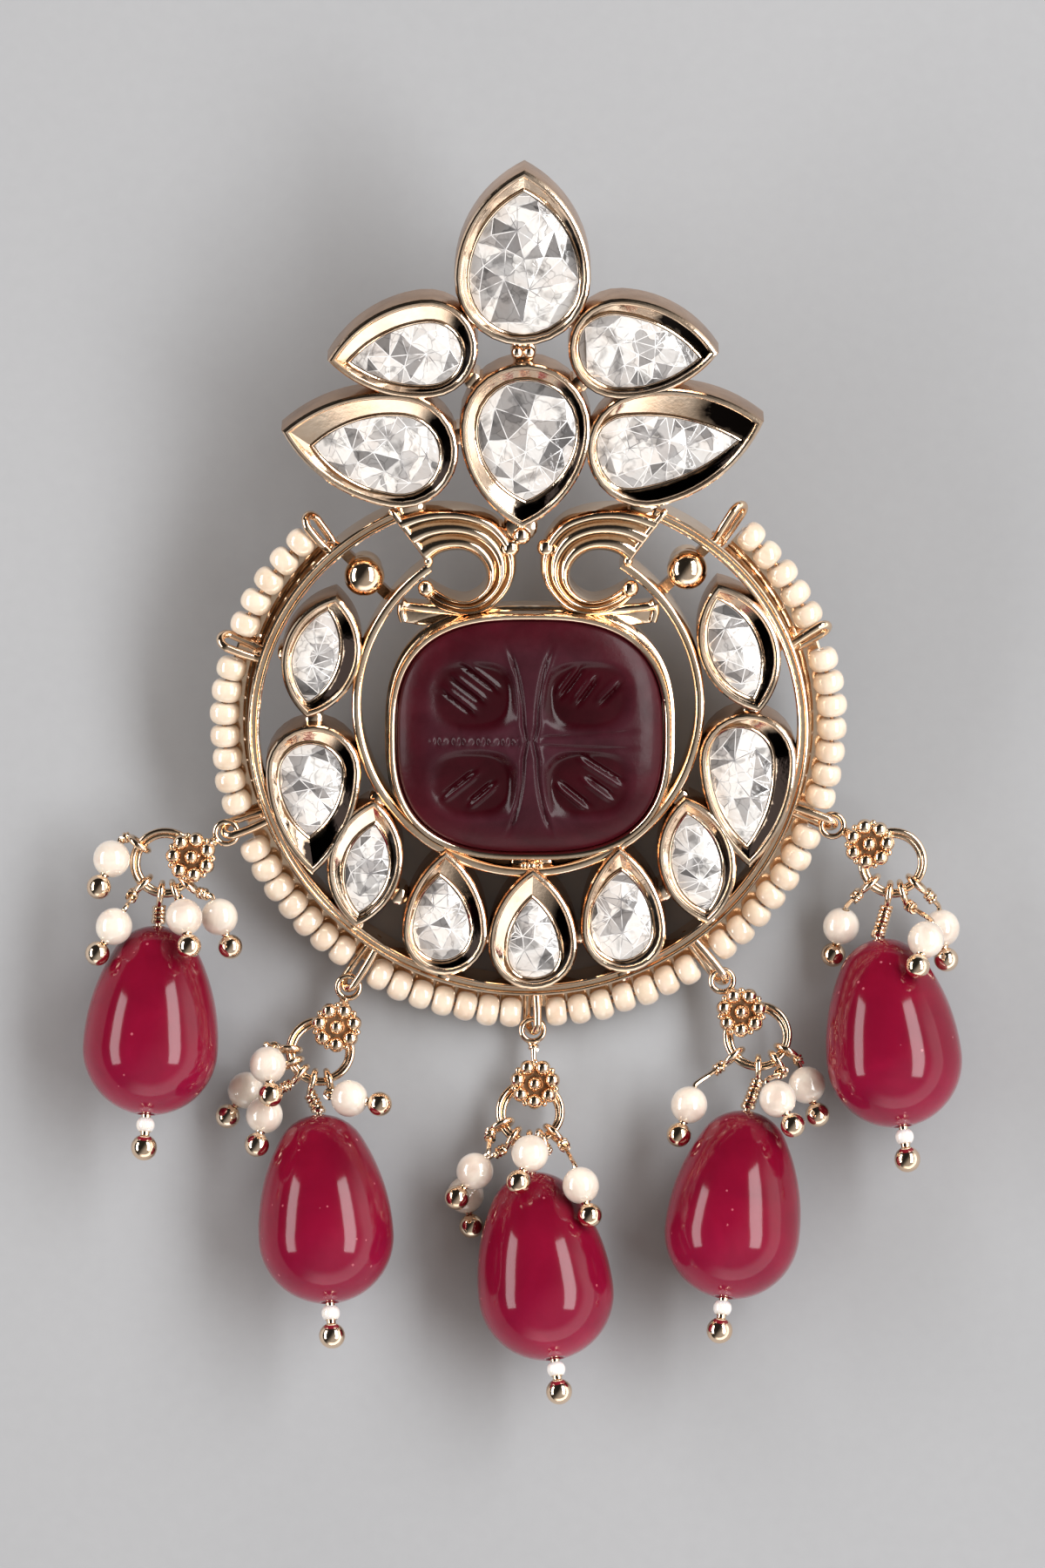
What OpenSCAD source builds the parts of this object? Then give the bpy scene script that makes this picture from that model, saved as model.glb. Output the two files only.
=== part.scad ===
// Dangle earring, lying on its back on a flat surface.
// X runs across the earring, +Y towards the flower, +Z out of the surface.
// The metal frame is flat in its own plane; its flower end is propped up by
// the ear post, its lower edge lies on the surface with the five red drops.

/* [Frame] */
// Height of the stone cups above the back of the frame
cup_h = 3.0; // [2.6:0.1:3.2]
// Height of the two rails
rail_h = 2.6; // [2.2:0.1:2.8]
// Thickness of the outer rail
rail_w = 0.62; // [0.5:0.02:0.8]
// Thickness of the inner rail
inner_w = 0.5; // [0.4:0.02:0.7]
// Thickness of a cup's wall
cup_wall = 0.4; // [0.3:0.05:0.5]
// Thickness of a cup's closed back
cup_floor = 0.5; // [0.4:0.05:0.8]
// Radius of the two decorative balls
ball_r = 1.08; // [0.9:0.02:1.2]
// Slope of the frame as it lies, in degrees
tilt = 13; // [12:0.5:14]

/* [Centre stone] */
// Width of the centre bezel
bezel_w = 15.1; // [14.6:0.1:15.4]
// Height of the centre bezel's outline
bezel_l = 13.5; // [13:0.1:13.8]
// Height of the bezel's wall above the back
bezel_h = 3.4; // [3:0.1:3.8]
// Rise of the centre stone above its bezel
dome = 0.9; // [0.5:0.1:1.4]

/* [Post] */
// Radius of the ear post
post_r = 0.45; // [0.4:0.01:0.5]
// Radius of the pad that holds the post
pad_r = 2.2; // [1.6:0.1:2.6]

/* [Pearls] */
// Radius of a seed pearl across its thread
seed_r = 0.83; // [0.7:0.01:0.86]
// Length of a seed pearl along its thread
seed_l = 1.1; // [0.9:0.02:1.14]
// Radius of a dangling pearl
pearl_r = 1.0; // [0.9:0.02:1.02]

/* [Drops] */
// Largest radius of a red drop
drop_r = 3.62; // [3.4:0.02:3.7]
// Length of a red drop
drop_l = 10.2; // [9.8:0.1:10.4]
// Radius of the hole through a drop
drop_bore_r = 0.4; // [0.35:0.01:0.5]
// Radius of a gold ball at the end of a drop's pin
end_ball_r = 0.7; // [0.6:0.02:0.75]

/* [Wires] */
// Radius of the jump rings' wire
ring_wire = 0.28; // [0.24:0.01:0.3]
// Radius of the jump rings, to the middle of the wire
ring_r = 1.6; // [1.55:0.01:1.65]
// Radius of the head pins' wire
pin_wire = 0.16; // [0.14:0.01:0.17]
// Radius of a head pin's loop, to the middle of its wire
loop_r = 0.62; // [0.6:0.01:0.65]

/* [Hidden] */
$fn = 48;
GOLD = [0.80, 0.61, 0.42];
CLEAR = [0.86, 0.88, 0.90];
RUBY = [0.62, 0.03, 0.14];
GARNET = [0.22, 0.03, 0.06];
CREAM = [0.93, 0.88, 0.79];
GAP = 0.04;                      // play between a piece and what holds it

// The outer rail is an oval of three arcs: one below, one at each side.
OVAL_R = 15.0;                   // radius of the lower arc, to its outside
OVAL_C = [0, 0.6];               // centre of the lower arc
SIDE_R = 13.0;                   // radius of the side arcs
SIDE_A = 193;                    // direction from the lower centre to the left one
SIDE_C = OVAL_C + (OVAL_R - SIDE_R) * [cos(SIDE_A), sin(SIDE_A)];
SIDE_END = 112;                  // where the left arc ends under the petals
FLANGE = 1.2;                    // ledge behind the seed pearls
FLANGE_H = 0.35;
SEED_Z = FLANGE_H + GAP + seed_r;
INNER_C = [0, 1.5];
INNER_R = 9.4;
BEZEL_C = [0.1, -0.05];
POST_AT = [-0.2, 24.2];

// The frame's plane: [u, v, w] counts from the rail's middle and the back.
low = (OVAL_R + FLANGE - OVAL_C[1]) * sin(tilt);
mid_z = 0.02 + cup_h * cos(tilt) + low;
// Middle of the whole box, measured from the rail's middle.
BOX_C = [-0.306, -2.602];
function lift(u, v, w) = [u - BOX_C[0],
    v * cos(tilt) + (cup_h - w) * sin(tilt) - BOX_C[1],
    mid_z + v * sin(tilt) - (cup_h - w) * cos(tilt)];
function flat(x, y, z) = [x - BOX_C[0], y - BOX_C[1], z];
post_l = lift(0, POST_AT[1], 0)[2] / cos(tilt) - post_r * tan(tilt);

// Stone cups: columns are kind (0 pear, 1 marquise), heavy centre u, v,
// tip u, v, half width. A marquise gives its middle instead of the centre.
CUPS = [
    [0, -0.3, 24.7, -0.2, 30.6, 3.62],
    [0, -0.15, 16.7, -0.35, 11.2, 3.5],
    [0, -5.35, 20.95, -10.65, 20.3, 2.7],
    [0, 4.85, 20.95, 10.1, 20.7, 2.75],
    [0, -6.8, 15.4, -13.1, 16.5, 3.12],
    [0, 6.25, 15.5, 12.5, 17.0, 3.18],
    [1, -11.0, 4.25, -10.2, 7.6, 2.1],
    [0, -11.45, -2.0, -11.5, -7.7, 2.55],
    [1, -8.7, -7.05, -8.2, -3.55, 2.03],
    [0, -4.45, -10.9, -4.4, -6.3, 2.3],
    [0, 0.25, -11.6, 0.25, -7.3, 2.4],
    [0, 5.1, -10.75, 4.85, -6.1, 2.3],
    [1, 9.0, -6.9, 8.35, -3.4, 2.1],
    [0, 11.7, -1.4, 11.8, -7.3, 2.6],
    [1, 11.2, 4.7, 10.05, 8.2, 2.15]];

// Solder joints between neighbouring cups and rails: u, v, radius.
JOINTS = [
    [-0.25, 20.7, 0.7], [-2.75, 22.4, 0.5], [2.35, 22.4, 0.5],
    [-2.95, 19.1, 0.5], [2.75, 18.95, 0.5], [-3.6, 16.1, 0.5], [3.2, 16.2, 0.5],
    [-6.2, 18.3, 0.5], [5.6, 18.45, 0.5],
    [-0.4, 11.2, 0.9], [-6.3, 12.3, 0.8], [6.1, 12.3, 0.8],
    [-12.9, 4.2, 0.45], [13.1, 4.6, 0.45], [-11.4, 0.7, 0.5], [11.9, 1.1, 0.5],
    [-8.0, -3.7, 0.5], [8.1, -3.6, 0.5], [-6.9, -9.0, 0.5], [7.2, -8.8, 0.5],
    [-2.15, -11.2, 0.4], [2.75, -11.2, 0.4], [-4.5, -13.3, 0.5], [5.1, -13.2, 0.5],
    [-9.2, -10.5, 0.45], [9.7, -10.3, 0.45], [-4.4, -6.9, 0.5], [0.2, -7.6, 0.6], [4.8, -6.8, 0.5]];

// Eyelets: u, v of the loop's middle, direction it points to.
EYES = [
    [-11.45, 11.15, 127], [-15.9, 4.75, 157],
    [-15.75, -5.45, 200], [-9.5, -13.75, 237], [0.22, -16.1, 270], [10.15, -13.45, 308], [15.85, -5.1, 338],
    [15.5, 5.35, 32], [11.1, 11.75, 57]];
EYE_R = 0.52;
EYE_WIRE = 0.18;

// Runs of seed pearls: side of the oval (-1 left, 0 below, 1 right),
// first angle, step, number of pearls.
RUNS = [[-1, 135.6, 5.4, 5], [-1, 167.4, 4.97, 7], [0, 206.4, 4.3, 7], [0, 240.7, 4.33, 7],
    [0, 275.3, 4.37, 7], [0, 309.8, 4.4, 7], [1, -16.0, 5.1, 7], [1, 25.0, 5.25, 5]];

// Hanging groups, from the left: eyelet, flower x, y, turn of the flower,
// jump ring x, y, z, ring's azimuth and pitch, drop's top x, y, azimuth and
// pitch.
HANG = [
    [2, -18.0, -6.5, 10, -19.4, -6.8, 3.35, 262, -8, -19.78, -10.2, 266.5, 9],
    [3, -10.25, -15.6, 0, -11.1, -16.9, 2.0, 255, 10, -11.2, -20.3, 273.6, 11],
    [4, 0.36, -18.65, 0, 0.14, -20.2, 1.55, 266, 16, 0.1, -23.4, 277.6, 12],
    [5, 11.4, -14.8, 0, 12.3, -16.1, 2.0, 270, 10, 11.72, -20.1, 262.6, 11],
    [6, 18.2, -5.8, -10, 19.5, -6.8, 3.35, 262, -8, 18.75, -10.9, 277.2, 9]];

// Dangling pearls: group, place on the jump ring, pearl x, y, z, ball x, y, z.
DANGLES = [
    [0, -118, -22.25, -6.6, 3.7, -22.85, -7.95, 4.1],
    [0, -38, -22.1, -10.2, 4.6, -22.9, -11.5, 4.5],
    [0, 28, -18.35, -9.7, 5.4, -18.1, -11.1, 6.0],
    [0, 55, -16.5, -9.7, 3.6, -15.95, -11.2, 3.5],
    [1, -78, -13.9, -17.6, 4.1, -13.75, -19.15, 4.7],
    [1, -52, -15.1, -19.0, 1.3, -15.85, -20.05, 1.3],
    [1, -26, -14.1, -20.3, 3.0, -14.4, -21.5, 3.4],
    [1, 30, -9.55, -19.4, 3.5, -8.4, -19.6, 3.8],
    [2, -62, -2.85, -23.3, 2.9, -3.85, -24.75, 2.9],
    [2, -30, -3.35, -24.6, 1.05, -3.05, -26.2, 1.0],
    [2, 26, 0.1, -22.3, 5.0, -0.55, -23.9, 5.5],
    [2, 50, 2.8, -24.0, 5.2, 3.25, -25.5, 5.6],
    [3, -50, 8.6, -19.75, 2.9, 8.1, -21.2, 3.1],
    [3, 36, 13.3, -19.4, 4.9, 14.0, -20.6, 5.4],
    [3, 62, 14.9, -18.7, 2.5, 15.4, -20.1, 2.7],
    [4, -40, 16.75, -10.2, 1.8, 16.4, -11.5, 1.3],
    [4, 26, 21.2, -10.9, 5.2, 20.7, -12.4, 6.1],
    [4, 56, 22.1, -10.3, 2.8, 22.35, -12.0, 2.7]];
dangle_ball_r = 0.66;

// ---------- outlines ----------

// Radius of the arcs at the sides of a pear or marquise of half width r
// whose tip is h away.
function arc_r(r, h) = (h * h + r * r) / (2 * r);

// Pear outline: round end about the origin, tip at [0, h], drawn in by d.
module pear(r, h, d = 0) {
    R = arc_r(r, h);
    circle(r - d);
    intersection() {
        translate([R - r, 0]) circle(R - d, $fn = 96);
        translate([r - R, 0]) circle(R - d, $fn = 96);
        translate([-r, 0]) square([2 * r, h + 1]);
    }
}
// Marquise outline about the origin with its tips on the Y axis.
module marquise(r, h, d = 0) {
    R = arc_r(r, h);
    intersection() {
        translate([R - r, 0]) circle(R - d, $fn = 96);
        translate([r - R, 0]) circle(R - d, $fn = 96);
    }
}
// Outline of cup c, drawn in by d, in the frame's plane.
module cup_outline(c, d = 0) {
    h = norm([c[3] - c[1], c[4] - c[2]]);
    a = atan2(c[4] - c[2], c[3] - c[1]) - 90;
    translate([c[1], c[2]]) rotate(a)
        if (c[0] == 0) pear(c[5], h, d); else marquise(c[5], h, d);
}
// Cushion outline of the centre stone, half axes a and b.
function sgn(t) = t < 0 ? -1 : 1;
module cushion(a, b, n = 3.1)
    polygon([for (t = [0:7.5:352.5]) [
        a * sgn(cos(t)) * pow(abs(cos(t)), 2 / n),
        b * sgn(sin(t)) * pow(abs(sin(t)), 2 / n)]]);

// ---------- solids ----------

// Puts what is drawn in the frame's plane into its place.
module in_frame() translate(lift(0, 0, 0)) rotate([tilt, 0, 0]) children();
// A curved wall about c, outside radius r, from angle a0 to a1.
module arc_wall(c, r, a0, a1, w, h)
    translate(c) rotate(a0) rotate_extrude(angle = a1 - a0, $fn = 96)
        translate([r - w, 0]) square([w, h]);
// A round rod from p to q.
module rod(p, q, r) {
    d = q - p;
    l = norm(d);
    translate(p) rotate([0, acos(d[2] / l), atan2(d[1], d[0])]) cylinder(h = l, r = r, $fn = 24);
}
module wire_ring(r, w) rotate_extrude($fn = 48) translate([r, 0]) circle(w, $fn = 24);

// The oval wall: three arcs, with a lump of solder over each seam.
module oval_wall(w, h, grow = 0) {
    j = SIDE_A;
    arc_wall(OVAL_C, OVAL_R + grow, j + 0.6, 539.4 - j, w, h);
    arc_wall(SIDE_C, SIDE_R + grow, SIDE_END, j - 0.6, w, h);
    arc_wall([-SIDE_C[0], SIDE_C[1]], SIDE_R + grow, 180.6 - j, 180 - SIDE_END, w, h);
    for (t = [j, 180 - j]) translate(OVAL_C) rotate(t)
        translate([OVAL_R + grow - w - 0.04, -0.6, 0]) cube([w + 0.08, 1.2, h + 0.03]);
}
module scroll() {
    translate([0, 0, 0.5]) linear_extrude(cup_h - 0.5) difference() {
        union() {
            translate([-3.35, 9.0]) circle(3.1);
            polygon([[-3.4, 12.1], [-5.4, 12.2], [-7.0, 11.7], [-5.15, 9.3], [-3.4, 9.0]]);
        }
        translate([-3.4, 8.65]) circle(1.15);
        polygon([[-3.4, 9.1], [-7.2, 9.1], [-7.2, 7.9], [-3.4, 8.2]]);
    }
    translate([0, 0, 0.5]) linear_extrude(cup_h - 0.7)
        polygon([[-6.5, 6.2], [-6.5, 7.0], [-3.1, 6.9], [-3.1, 5.9]]);
}
module eyelet(e) {
    low = e[1] < SIDE_C[1] - 3;
    reach = low ? norm([e[0], e[1]] - OVAL_C) - OVAL_R + 0.3
                : norm([abs(e[0]), e[1]] - [-SIDE_C[0], SIDE_C[1]]) - SIDE_R + 0.3;
    translate([e[0], e[1], 1.4]) rotate([0, 0, e[2]]) rotate([90 - 35, 0, 0]) {
        rotate([0, 0, -90]) rotate_extrude(angle = 180, $fn = 48) translate([EYE_R, 0]) circle(EYE_WIRE, $fn = 24);
        for (s = [-1, 1]) translate([0, s * EYE_R, 0]) {
            rotate([0, -90, 0]) cylinder(h = reach, r = EYE_WIRE, $fn = 24);
            sphere(EYE_WIRE * 1.2, $fn = 24);
        }
    }
}

module frame_metal() {
    difference() {
        union() {
            oval_wall(rail_w, rail_h);
            oval_wall(FLANGE + 0.3, FLANGE_H, FLANGE);
            arc_wall(INNER_C, INNER_R, 125, 417, inner_w, rail_h);
            for (c = CUPS) linear_extrude(cup_h) cup_outline(c);
            translate([BEZEL_C[0], BEZEL_C[1], 0]) linear_extrude(bezel_h) cushion(bezel_w / 2, bezel_l / 2);
            for (j = JOINTS) translate([j[0], j[1], 0]) cylinder(h = cup_h - 0.55, r = j[2], $fn = 24);
            for (s = [-1, 1]) {
                translate([s * 8.55, 8.7, 1.9]) sphere(ball_r);
                translate([s * 8.55, 8.7, 0]) cylinder(h = 1.4, r = 0.9, $fn = 24);
                translate([s * 8.7, 8.8, 0.4]) rotate([0, 0, 90 - s * 45]) translate([-2.1, -0.35, 0]) cube([4.2, 0.7, 0.7]);
            }
            translate([-1.4, -7.8, 0]) cube([3.2, 1.4, 1.8]);
            scroll();
            mirror([1, 0, 0]) scroll();
            for (e = EYES) eyelet(e);
        }
        for (c = CUPS) {
            translate([0, 0, cup_h - 0.9]) linear_extrude(2) cup_outline(c, cup_wall);
            translate([0, 0, cup_floor]) linear_extrude(3) cup_outline(c, cup_wall + 0.3);
        }
        translate([BEZEL_C[0], BEZEL_C[1], cup_floor]) linear_extrude(5) cushion(bezel_w / 2 - 0.42, bezel_l / 2 - 0.42);
    }
}
module frame() { color(GOLD) in_frame() frame_metal(); }

module ear_post() {
    color(GOLD) in_frame() translate([POST_AT[0], POST_AT[1], -GAP]) mirror([0, 0, 1]) {
        cylinder(h = post_l - GAP, r = post_r);
        cylinder(h = 0.4, r = pad_r);
    }
}
module centre_stone() {
    a = bezel_w / 2 - 0.42 - GAP;
    b = bezel_l / 2 - 0.42 - GAP;
    color(GARNET) in_frame() translate([BEZEL_C[0], BEZEL_C[1], cup_floor + GAP]) {
        linear_extrude(bezel_h - cup_floor - 0.4) cushion(a, b);
        translate([0, 0, bezel_h - cup_floor - 0.4]) linear_extrude(dome + 0.2, scale = 0.78) cushion(a, b);
    }
}
// A foil-backed stone sits low in its cup, with a bevelled edge.
module stone(i) {
    color(CLEAR) in_frame() translate([0, 0, cup_floor + GAP]) {
        linear_extrude(1.0) cup_outline(CUPS[i], cup_wall + 0.3 + GAP);
        c = CUPS[i];
        m = [c[1], c[2]];
        translate([m[0], m[1], 1.0]) linear_extrude(0.5, scale = 0.7) translate(-m)
            cup_outline_plain(c, cup_wall + 0.3 + GAP);
    }
}
// The same outline with few straight edges, for the bevel.
function pear_pt(r, h, d, t) = let (R = arc_r(r, h), y = (h - d * 1.6) * t) [sqrt(pow(R - d, 2) - y * y) - (R - r), y];
module cup_outline_plain(c, d) {
    h = norm([c[3] - c[1], c[4] - c[2]]);
    a = atan2(c[4] - c[2], c[3] - c[1]) - 90;
    r = c[5];
    up = [for (t = [0:0.25:1]) pear_pt(r, h, d + 0.01, min(t, 0.97))];
    translate([c[1], c[2]]) rotate(a) polygon(concat(
        up, [for (i = [len(up) - 1:-1:0]) [-up[i][0], up[i][1]]],
        c[0] == 0 ? [for (t = [200:20:340]) (r - d - 0.01) * [cos(t), sin(t)]]
                  : concat([for (i = [1:len(up) - 1]) [-up[i][0], -up[i][1]]], [for (i = [len(up) - 1:-1:1]) [up[i][0], -up[i][1]]])));
}
module seed_pearl() rotate_extrude($fn = 32) {
    intersection() {
        translate([seed_r - seed_l / 2 - 0.02, 0]) circle(seed_l / 2 + 0.02, $fn = 32);
        translate([0, -seed_l / 2]) square([2, seed_l]);
    }
    translate([0, -seed_l / 2]) square([0.3, seed_l]);
}
module seed_pearls(i) {
    q = RUNS[i];
    c = q[0] == 0 ? OVAL_C : [-q[0] * -abs(SIDE_C[0]), SIDE_C[1]];
    r = q[0] == 0 ? OVAL_R + 1.25 : SIDE_R + 1.25;
    color(CREAM) in_frame() translate([c[0], c[1], SEED_Z]) {
        for (k = [0:q[3] - 1]) rotate(q[1] + k * q[2]) translate([r, 0, 0]) rotate([90, 0, 0]) seed_pearl();
        // the thread shows only between two pearls
        for (k = [0:q[3] - 2]) rotate(q[1] + (k + 0.5) * q[2]) translate([r * cos(q[2] / 2), 0.4, 0])
            rotate([90, 0, 0]) cylinder(h = 0.8, r = 0.2, $fn = 24);
    }
}

// ---------- what hangs from the eyelets ----------

function eye_tip(i) = let (e = EYES[i]) lift(e[0], e[1], 1.4);
// The flower sits on a bail around the ring's wire.
function bail_at(g) = on_ring(g, bail_t(g), ring_r);
function flower_at(g) = flat(g[1], g[2], bail_at(g)[2] + 0.6);
function ring_at(g) = flat(g[4], g[5], g[6]);
// A point of group g's jump ring, t degrees from its middle, s from its centre.
function on_ring(g, t, s) = let (x = s * cos(t), y = s * sin(t), p = g[8], z = g[7])
    ring_at(g) + [x * cos(p) * cos(z) - y * sin(z), x * cos(p) * sin(z) + y * cos(z), x * sin(p)];
LOOP_OFF = 0.12;

module connector(i) {
    g = HANG[i];
    e = eye_tip(g[0]);
    b = bail_at(g);
    f = flower_at(g);
    d = f - e;
    az = atan2(d[1], d[0]);
    u = [cos(az), sin(az), 0];
    loop = e + 0.45 * u + [0, 0, 0.02];
    color(GOLD) {
        translate(loop) rotate(az) wire_ring(0.6, 0.12);
        translate(loop + 0.6 * u) rotate(az + 180) sphere(0.2, $fn = 24);
        rod(loop + 0.6 * u, f - 1.1 * u, 0.1);
        // seven granules in one body, with a tab towards the loop
        translate(f - [0, 0, 0.15]) rotate(az) linear_extrude(0.5) {
            circle(0.8, $fn = 32);
            translate([-1.0, 0]) circle(0.34, $fn = 24);
            for (t = [30:60:330]) rotate(g[3] + t) translate([0.88, 0]) circle(0.4, $fn = 32);
        }
        translate(f + [0, 0, 0.3]) sphere(0.44, $fn = 32);
        // bail under the flower, around the ring's wire
        translate(b) rotate([0, 0, g[7] + bail_t(g)]) rotate([90, 90, 0]) wire_ring(0.52, 0.13);
    }
}
// Direction from the ring's centre to the flower, measured on the ring.
function bail_t(g) = atan2(g[2] - g[5], g[1] - g[4]) - g[7];

module jump_ring(i) {
    g = HANG[i];
    color(GOLD) translate(ring_at(g)) rotate([0, 0, g[7]]) rotate([0, -g[8], 0]) wire_ring(ring_r, ring_wire);
}
// The ball sits just off the pearl, in the direction that the table gives.
function ball_of(d) = let (v = [d[5] - d[2], d[6] - d[3], d[7] - d[4]])
    flat(d[2], d[3], d[4]) + v / norm(v) * (pearl_r + dangle_ball_r + GAP);
// A head pin's loop around the jump ring, t degrees round it.
module ring_loop(g, t)
    translate(ring_at(g)) rotate([0, 0, g[7]]) rotate([0, -g[8], 0]) rotate(t)
        translate([ring_r + LOOP_OFF, 0, 0]) rotate([90, 0, 0]) wire_ring(loop_r, pin_wire);
module dangle_pins(i) {
    g = HANG[i];
    color(GOLD) for (d = DANGLES) if (d[0] == i) {
        exit = on_ring(g, d[1], ring_r + LOOP_OFF + loop_r);
        p = flat(d[2], d[3], d[4]);
        q = ball_of(d);
        bend = p + (p - q) / norm(p - q) * (pearl_r + 0.25);
        ring_loop(g, d[1]);
        translate(exit) sphere(pin_wire * 1.6, $fn = 24);
        rod(exit, bend, pin_wire * 0.8);
        rod(bend + (p - q) / norm(p - q) * 0.2, q, pin_wire);
        translate(q) sphere(dangle_ball_r, $fn = 32);
    }
}
module dangle_pearls(i) color(CREAM) for (d = DANGLES) if (d[0] == i) {
    p = flat(d[2], d[3], d[4]);
    v = ball_of(d) - p;
    translate(p) rotate([0, acos(v[2] / norm(v)), atan2(v[1], v[0])]) drilled_bead(pearl_r, pin_wire + GAP);
}
module drilled_bead(r, bore) rotate_extrude($fn = 48) intersection() {
    circle(r, $fn = 48);
    translate([bore, -r]) square([r, 2 * r]);
}

// Profile of a drop: round end about the origin, narrow end up +Y.
DROP_H = 8;                      // where the side arcs would meet
DROP_ARC = arc_r(drop_r, DROP_H);
drop_top = drop_l - drop_r;
// The small end circle touches both side arcs from inside.
DROP_K = DROP_ARC - drop_r;
drop_c = (pow(DROP_K, 2) - pow(DROP_ARC - drop_top, 2)) / (2 * (DROP_ARC - drop_top));
small_r = drop_top - drop_c;
drop_cut = drop_c + small_r * sin(atan2(drop_c, DROP_K));
module drop_profile() {
    intersection() {
        union() {
            circle(drop_r, $fn = 96);
            intersection() {
                translate([-DROP_K, 0]) circle(DROP_ARC, $fn = 180);
                translate([0, 0]) square([drop_r + 1, drop_cut]);
            }
            translate([0, drop_c]) circle(small_r, $fn = 72);
        }
        translate([drop_bore_r, -drop_r - 1]) square([drop_r + 1, drop_l + 2]);
    }
}
// Height of the drop's round centre above the surface when it lies pitched.
function drop_z(p) = DROP_ARC - DROP_K * cos(p);
function drop_dir(g) = [cos(g[11]) * cos(g[12]), sin(g[11]) * cos(g[12]), sin(g[12])];
// Middle of the drop's round end.
function drop_mid(g) = let (u = drop_dir(g), k = drop_top) [
    flat(g[9], g[10], 0)[0] + u[0] * k, flat(g[9], g[10], 0)[1] + u[1] * k, drop_z(g[12]) + 0.01];
module along_drop(g) translate(drop_mid(g)) rotate([0, -90 - g[12], g[11]]) children();
module drop(i) {
    g = HANG[i];
    color(RUBY) along_drop(g) rotate_extrude($fn = 96) drop_profile();
}
BEAD_R = 0.5;
module drop_pin(i) {
    g = HANG[i];
    u = drop_dir(g);
    top = drop_mid(g) - u * (drop_top + 0.25);
    low = drop_mid(g) + u * (drop_r + 2 * BEAD_R + 0.06 + end_ball_r);
    exit = on_ring(g, 0, ring_r + LOOP_OFF + loop_r);
    color(GOLD) {
        ring_loop(g, 0);
        translate(exit) sphere(pin_wire * 1.7, $fn = 24);
        rod(exit, top, pin_wire + 0.06);
        translate(top) sphere(0.34, $fn = 24);
        rod(top, low, drop_bore_r - 0.15);
        translate(low) sphere(end_ball_r, $fn = 32);
    }
}
module end_beads() {
    color(CREAM) for (g = HANG) {
        u = drop_dir(g);
        b = drop_mid(g) + u * (drop_r + BEAD_R + 0.04);
        difference() {
            translate(b) sphere(BEAD_R, $fn = 32);
            rod(b - u * 2, b + u * 2, drop_bore_r - 0.1 + GAP);
            along_drop(g) sphere(drop_r + GAP / 2, $fn = 96);
        }
    }
}

frame();
ear_post();
centre_stone();
stone(0);  // stone_top
stone(1);  // stone_middle
stone(2);  // stone_upper_left
stone(3);  // stone_upper_right
stone(4);  // stone_lower_left
stone(5);  // stone_lower_right
stone(6);  // stone_ring_1
stone(7);  // stone_ring_2
stone(8);  // stone_ring_3
stone(9);  // stone_ring_4
stone(10);  // stone_ring_5
stone(11);  // stone_ring_6
stone(12);  // stone_ring_7
stone(13);  // stone_ring_8
stone(14);  // stone_ring_9
seed_pearls(0);  // seed_pearls_1
seed_pearls(1);  // seed_pearls_2
seed_pearls(2);  // seed_pearls_3
seed_pearls(3);  // seed_pearls_4
seed_pearls(4);  // seed_pearls_5
seed_pearls(5);  // seed_pearls_6
seed_pearls(6);  // seed_pearls_7
seed_pearls(7);  // seed_pearls_8
connector(0);  // connector_1
connector(1);  // connector_2
connector(2);  // connector_3
connector(3);  // connector_4
connector(4);  // connector_5
jump_ring(0);  // jump_ring_1
jump_ring(1);  // jump_ring_2
jump_ring(2);  // jump_ring_3
jump_ring(3);  // jump_ring_4
jump_ring(4);  // jump_ring_5
dangle_pins(0);  // dangle_pins_1
dangle_pins(1);  // dangle_pins_2
dangle_pins(2);  // dangle_pins_3
dangle_pins(3);  // dangle_pins_4
dangle_pins(4);  // dangle_pins_5
dangle_pearls(0);  // dangle_pearls_1
dangle_pearls(1);  // dangle_pearls_2
dangle_pearls(2);  // dangle_pearls_3
dangle_pearls(3);  // dangle_pearls_4
dangle_pearls(4);  // dangle_pearls_5
drop(0);  // drop_1
drop(1);  // drop_2
drop(2);  // drop_3
drop(3);  // drop_4
drop(4);  // drop_5
drop_pin(0);  // drop_pin_1
drop_pin(1);  // drop_pin_2
drop_pin(2);  // drop_pin_3
drop_pin(3);  // drop_pin_4
drop_pin(4);  // drop_pin_5
end_beads();
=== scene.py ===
import math
import random

import bmesh
import bpy
from mathutils import Matrix, Vector
from mathutils.geometry import delaunay_2d_cdt

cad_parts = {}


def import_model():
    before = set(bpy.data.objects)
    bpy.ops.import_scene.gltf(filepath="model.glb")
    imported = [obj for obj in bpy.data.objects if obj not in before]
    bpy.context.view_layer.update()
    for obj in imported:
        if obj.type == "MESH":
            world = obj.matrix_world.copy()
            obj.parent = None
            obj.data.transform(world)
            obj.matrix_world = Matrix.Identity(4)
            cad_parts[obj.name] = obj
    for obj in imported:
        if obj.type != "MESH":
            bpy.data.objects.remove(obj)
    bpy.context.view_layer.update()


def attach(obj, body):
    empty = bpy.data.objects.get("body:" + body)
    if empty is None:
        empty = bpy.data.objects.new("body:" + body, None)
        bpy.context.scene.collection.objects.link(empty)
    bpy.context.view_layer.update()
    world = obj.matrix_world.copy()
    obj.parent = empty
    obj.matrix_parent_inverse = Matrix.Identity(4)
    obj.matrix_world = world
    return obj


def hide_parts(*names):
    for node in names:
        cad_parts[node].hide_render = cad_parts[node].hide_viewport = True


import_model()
MM = 0.001
rad = math.radians

# ---------- the model's own measures, in millimetres ----------

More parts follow.
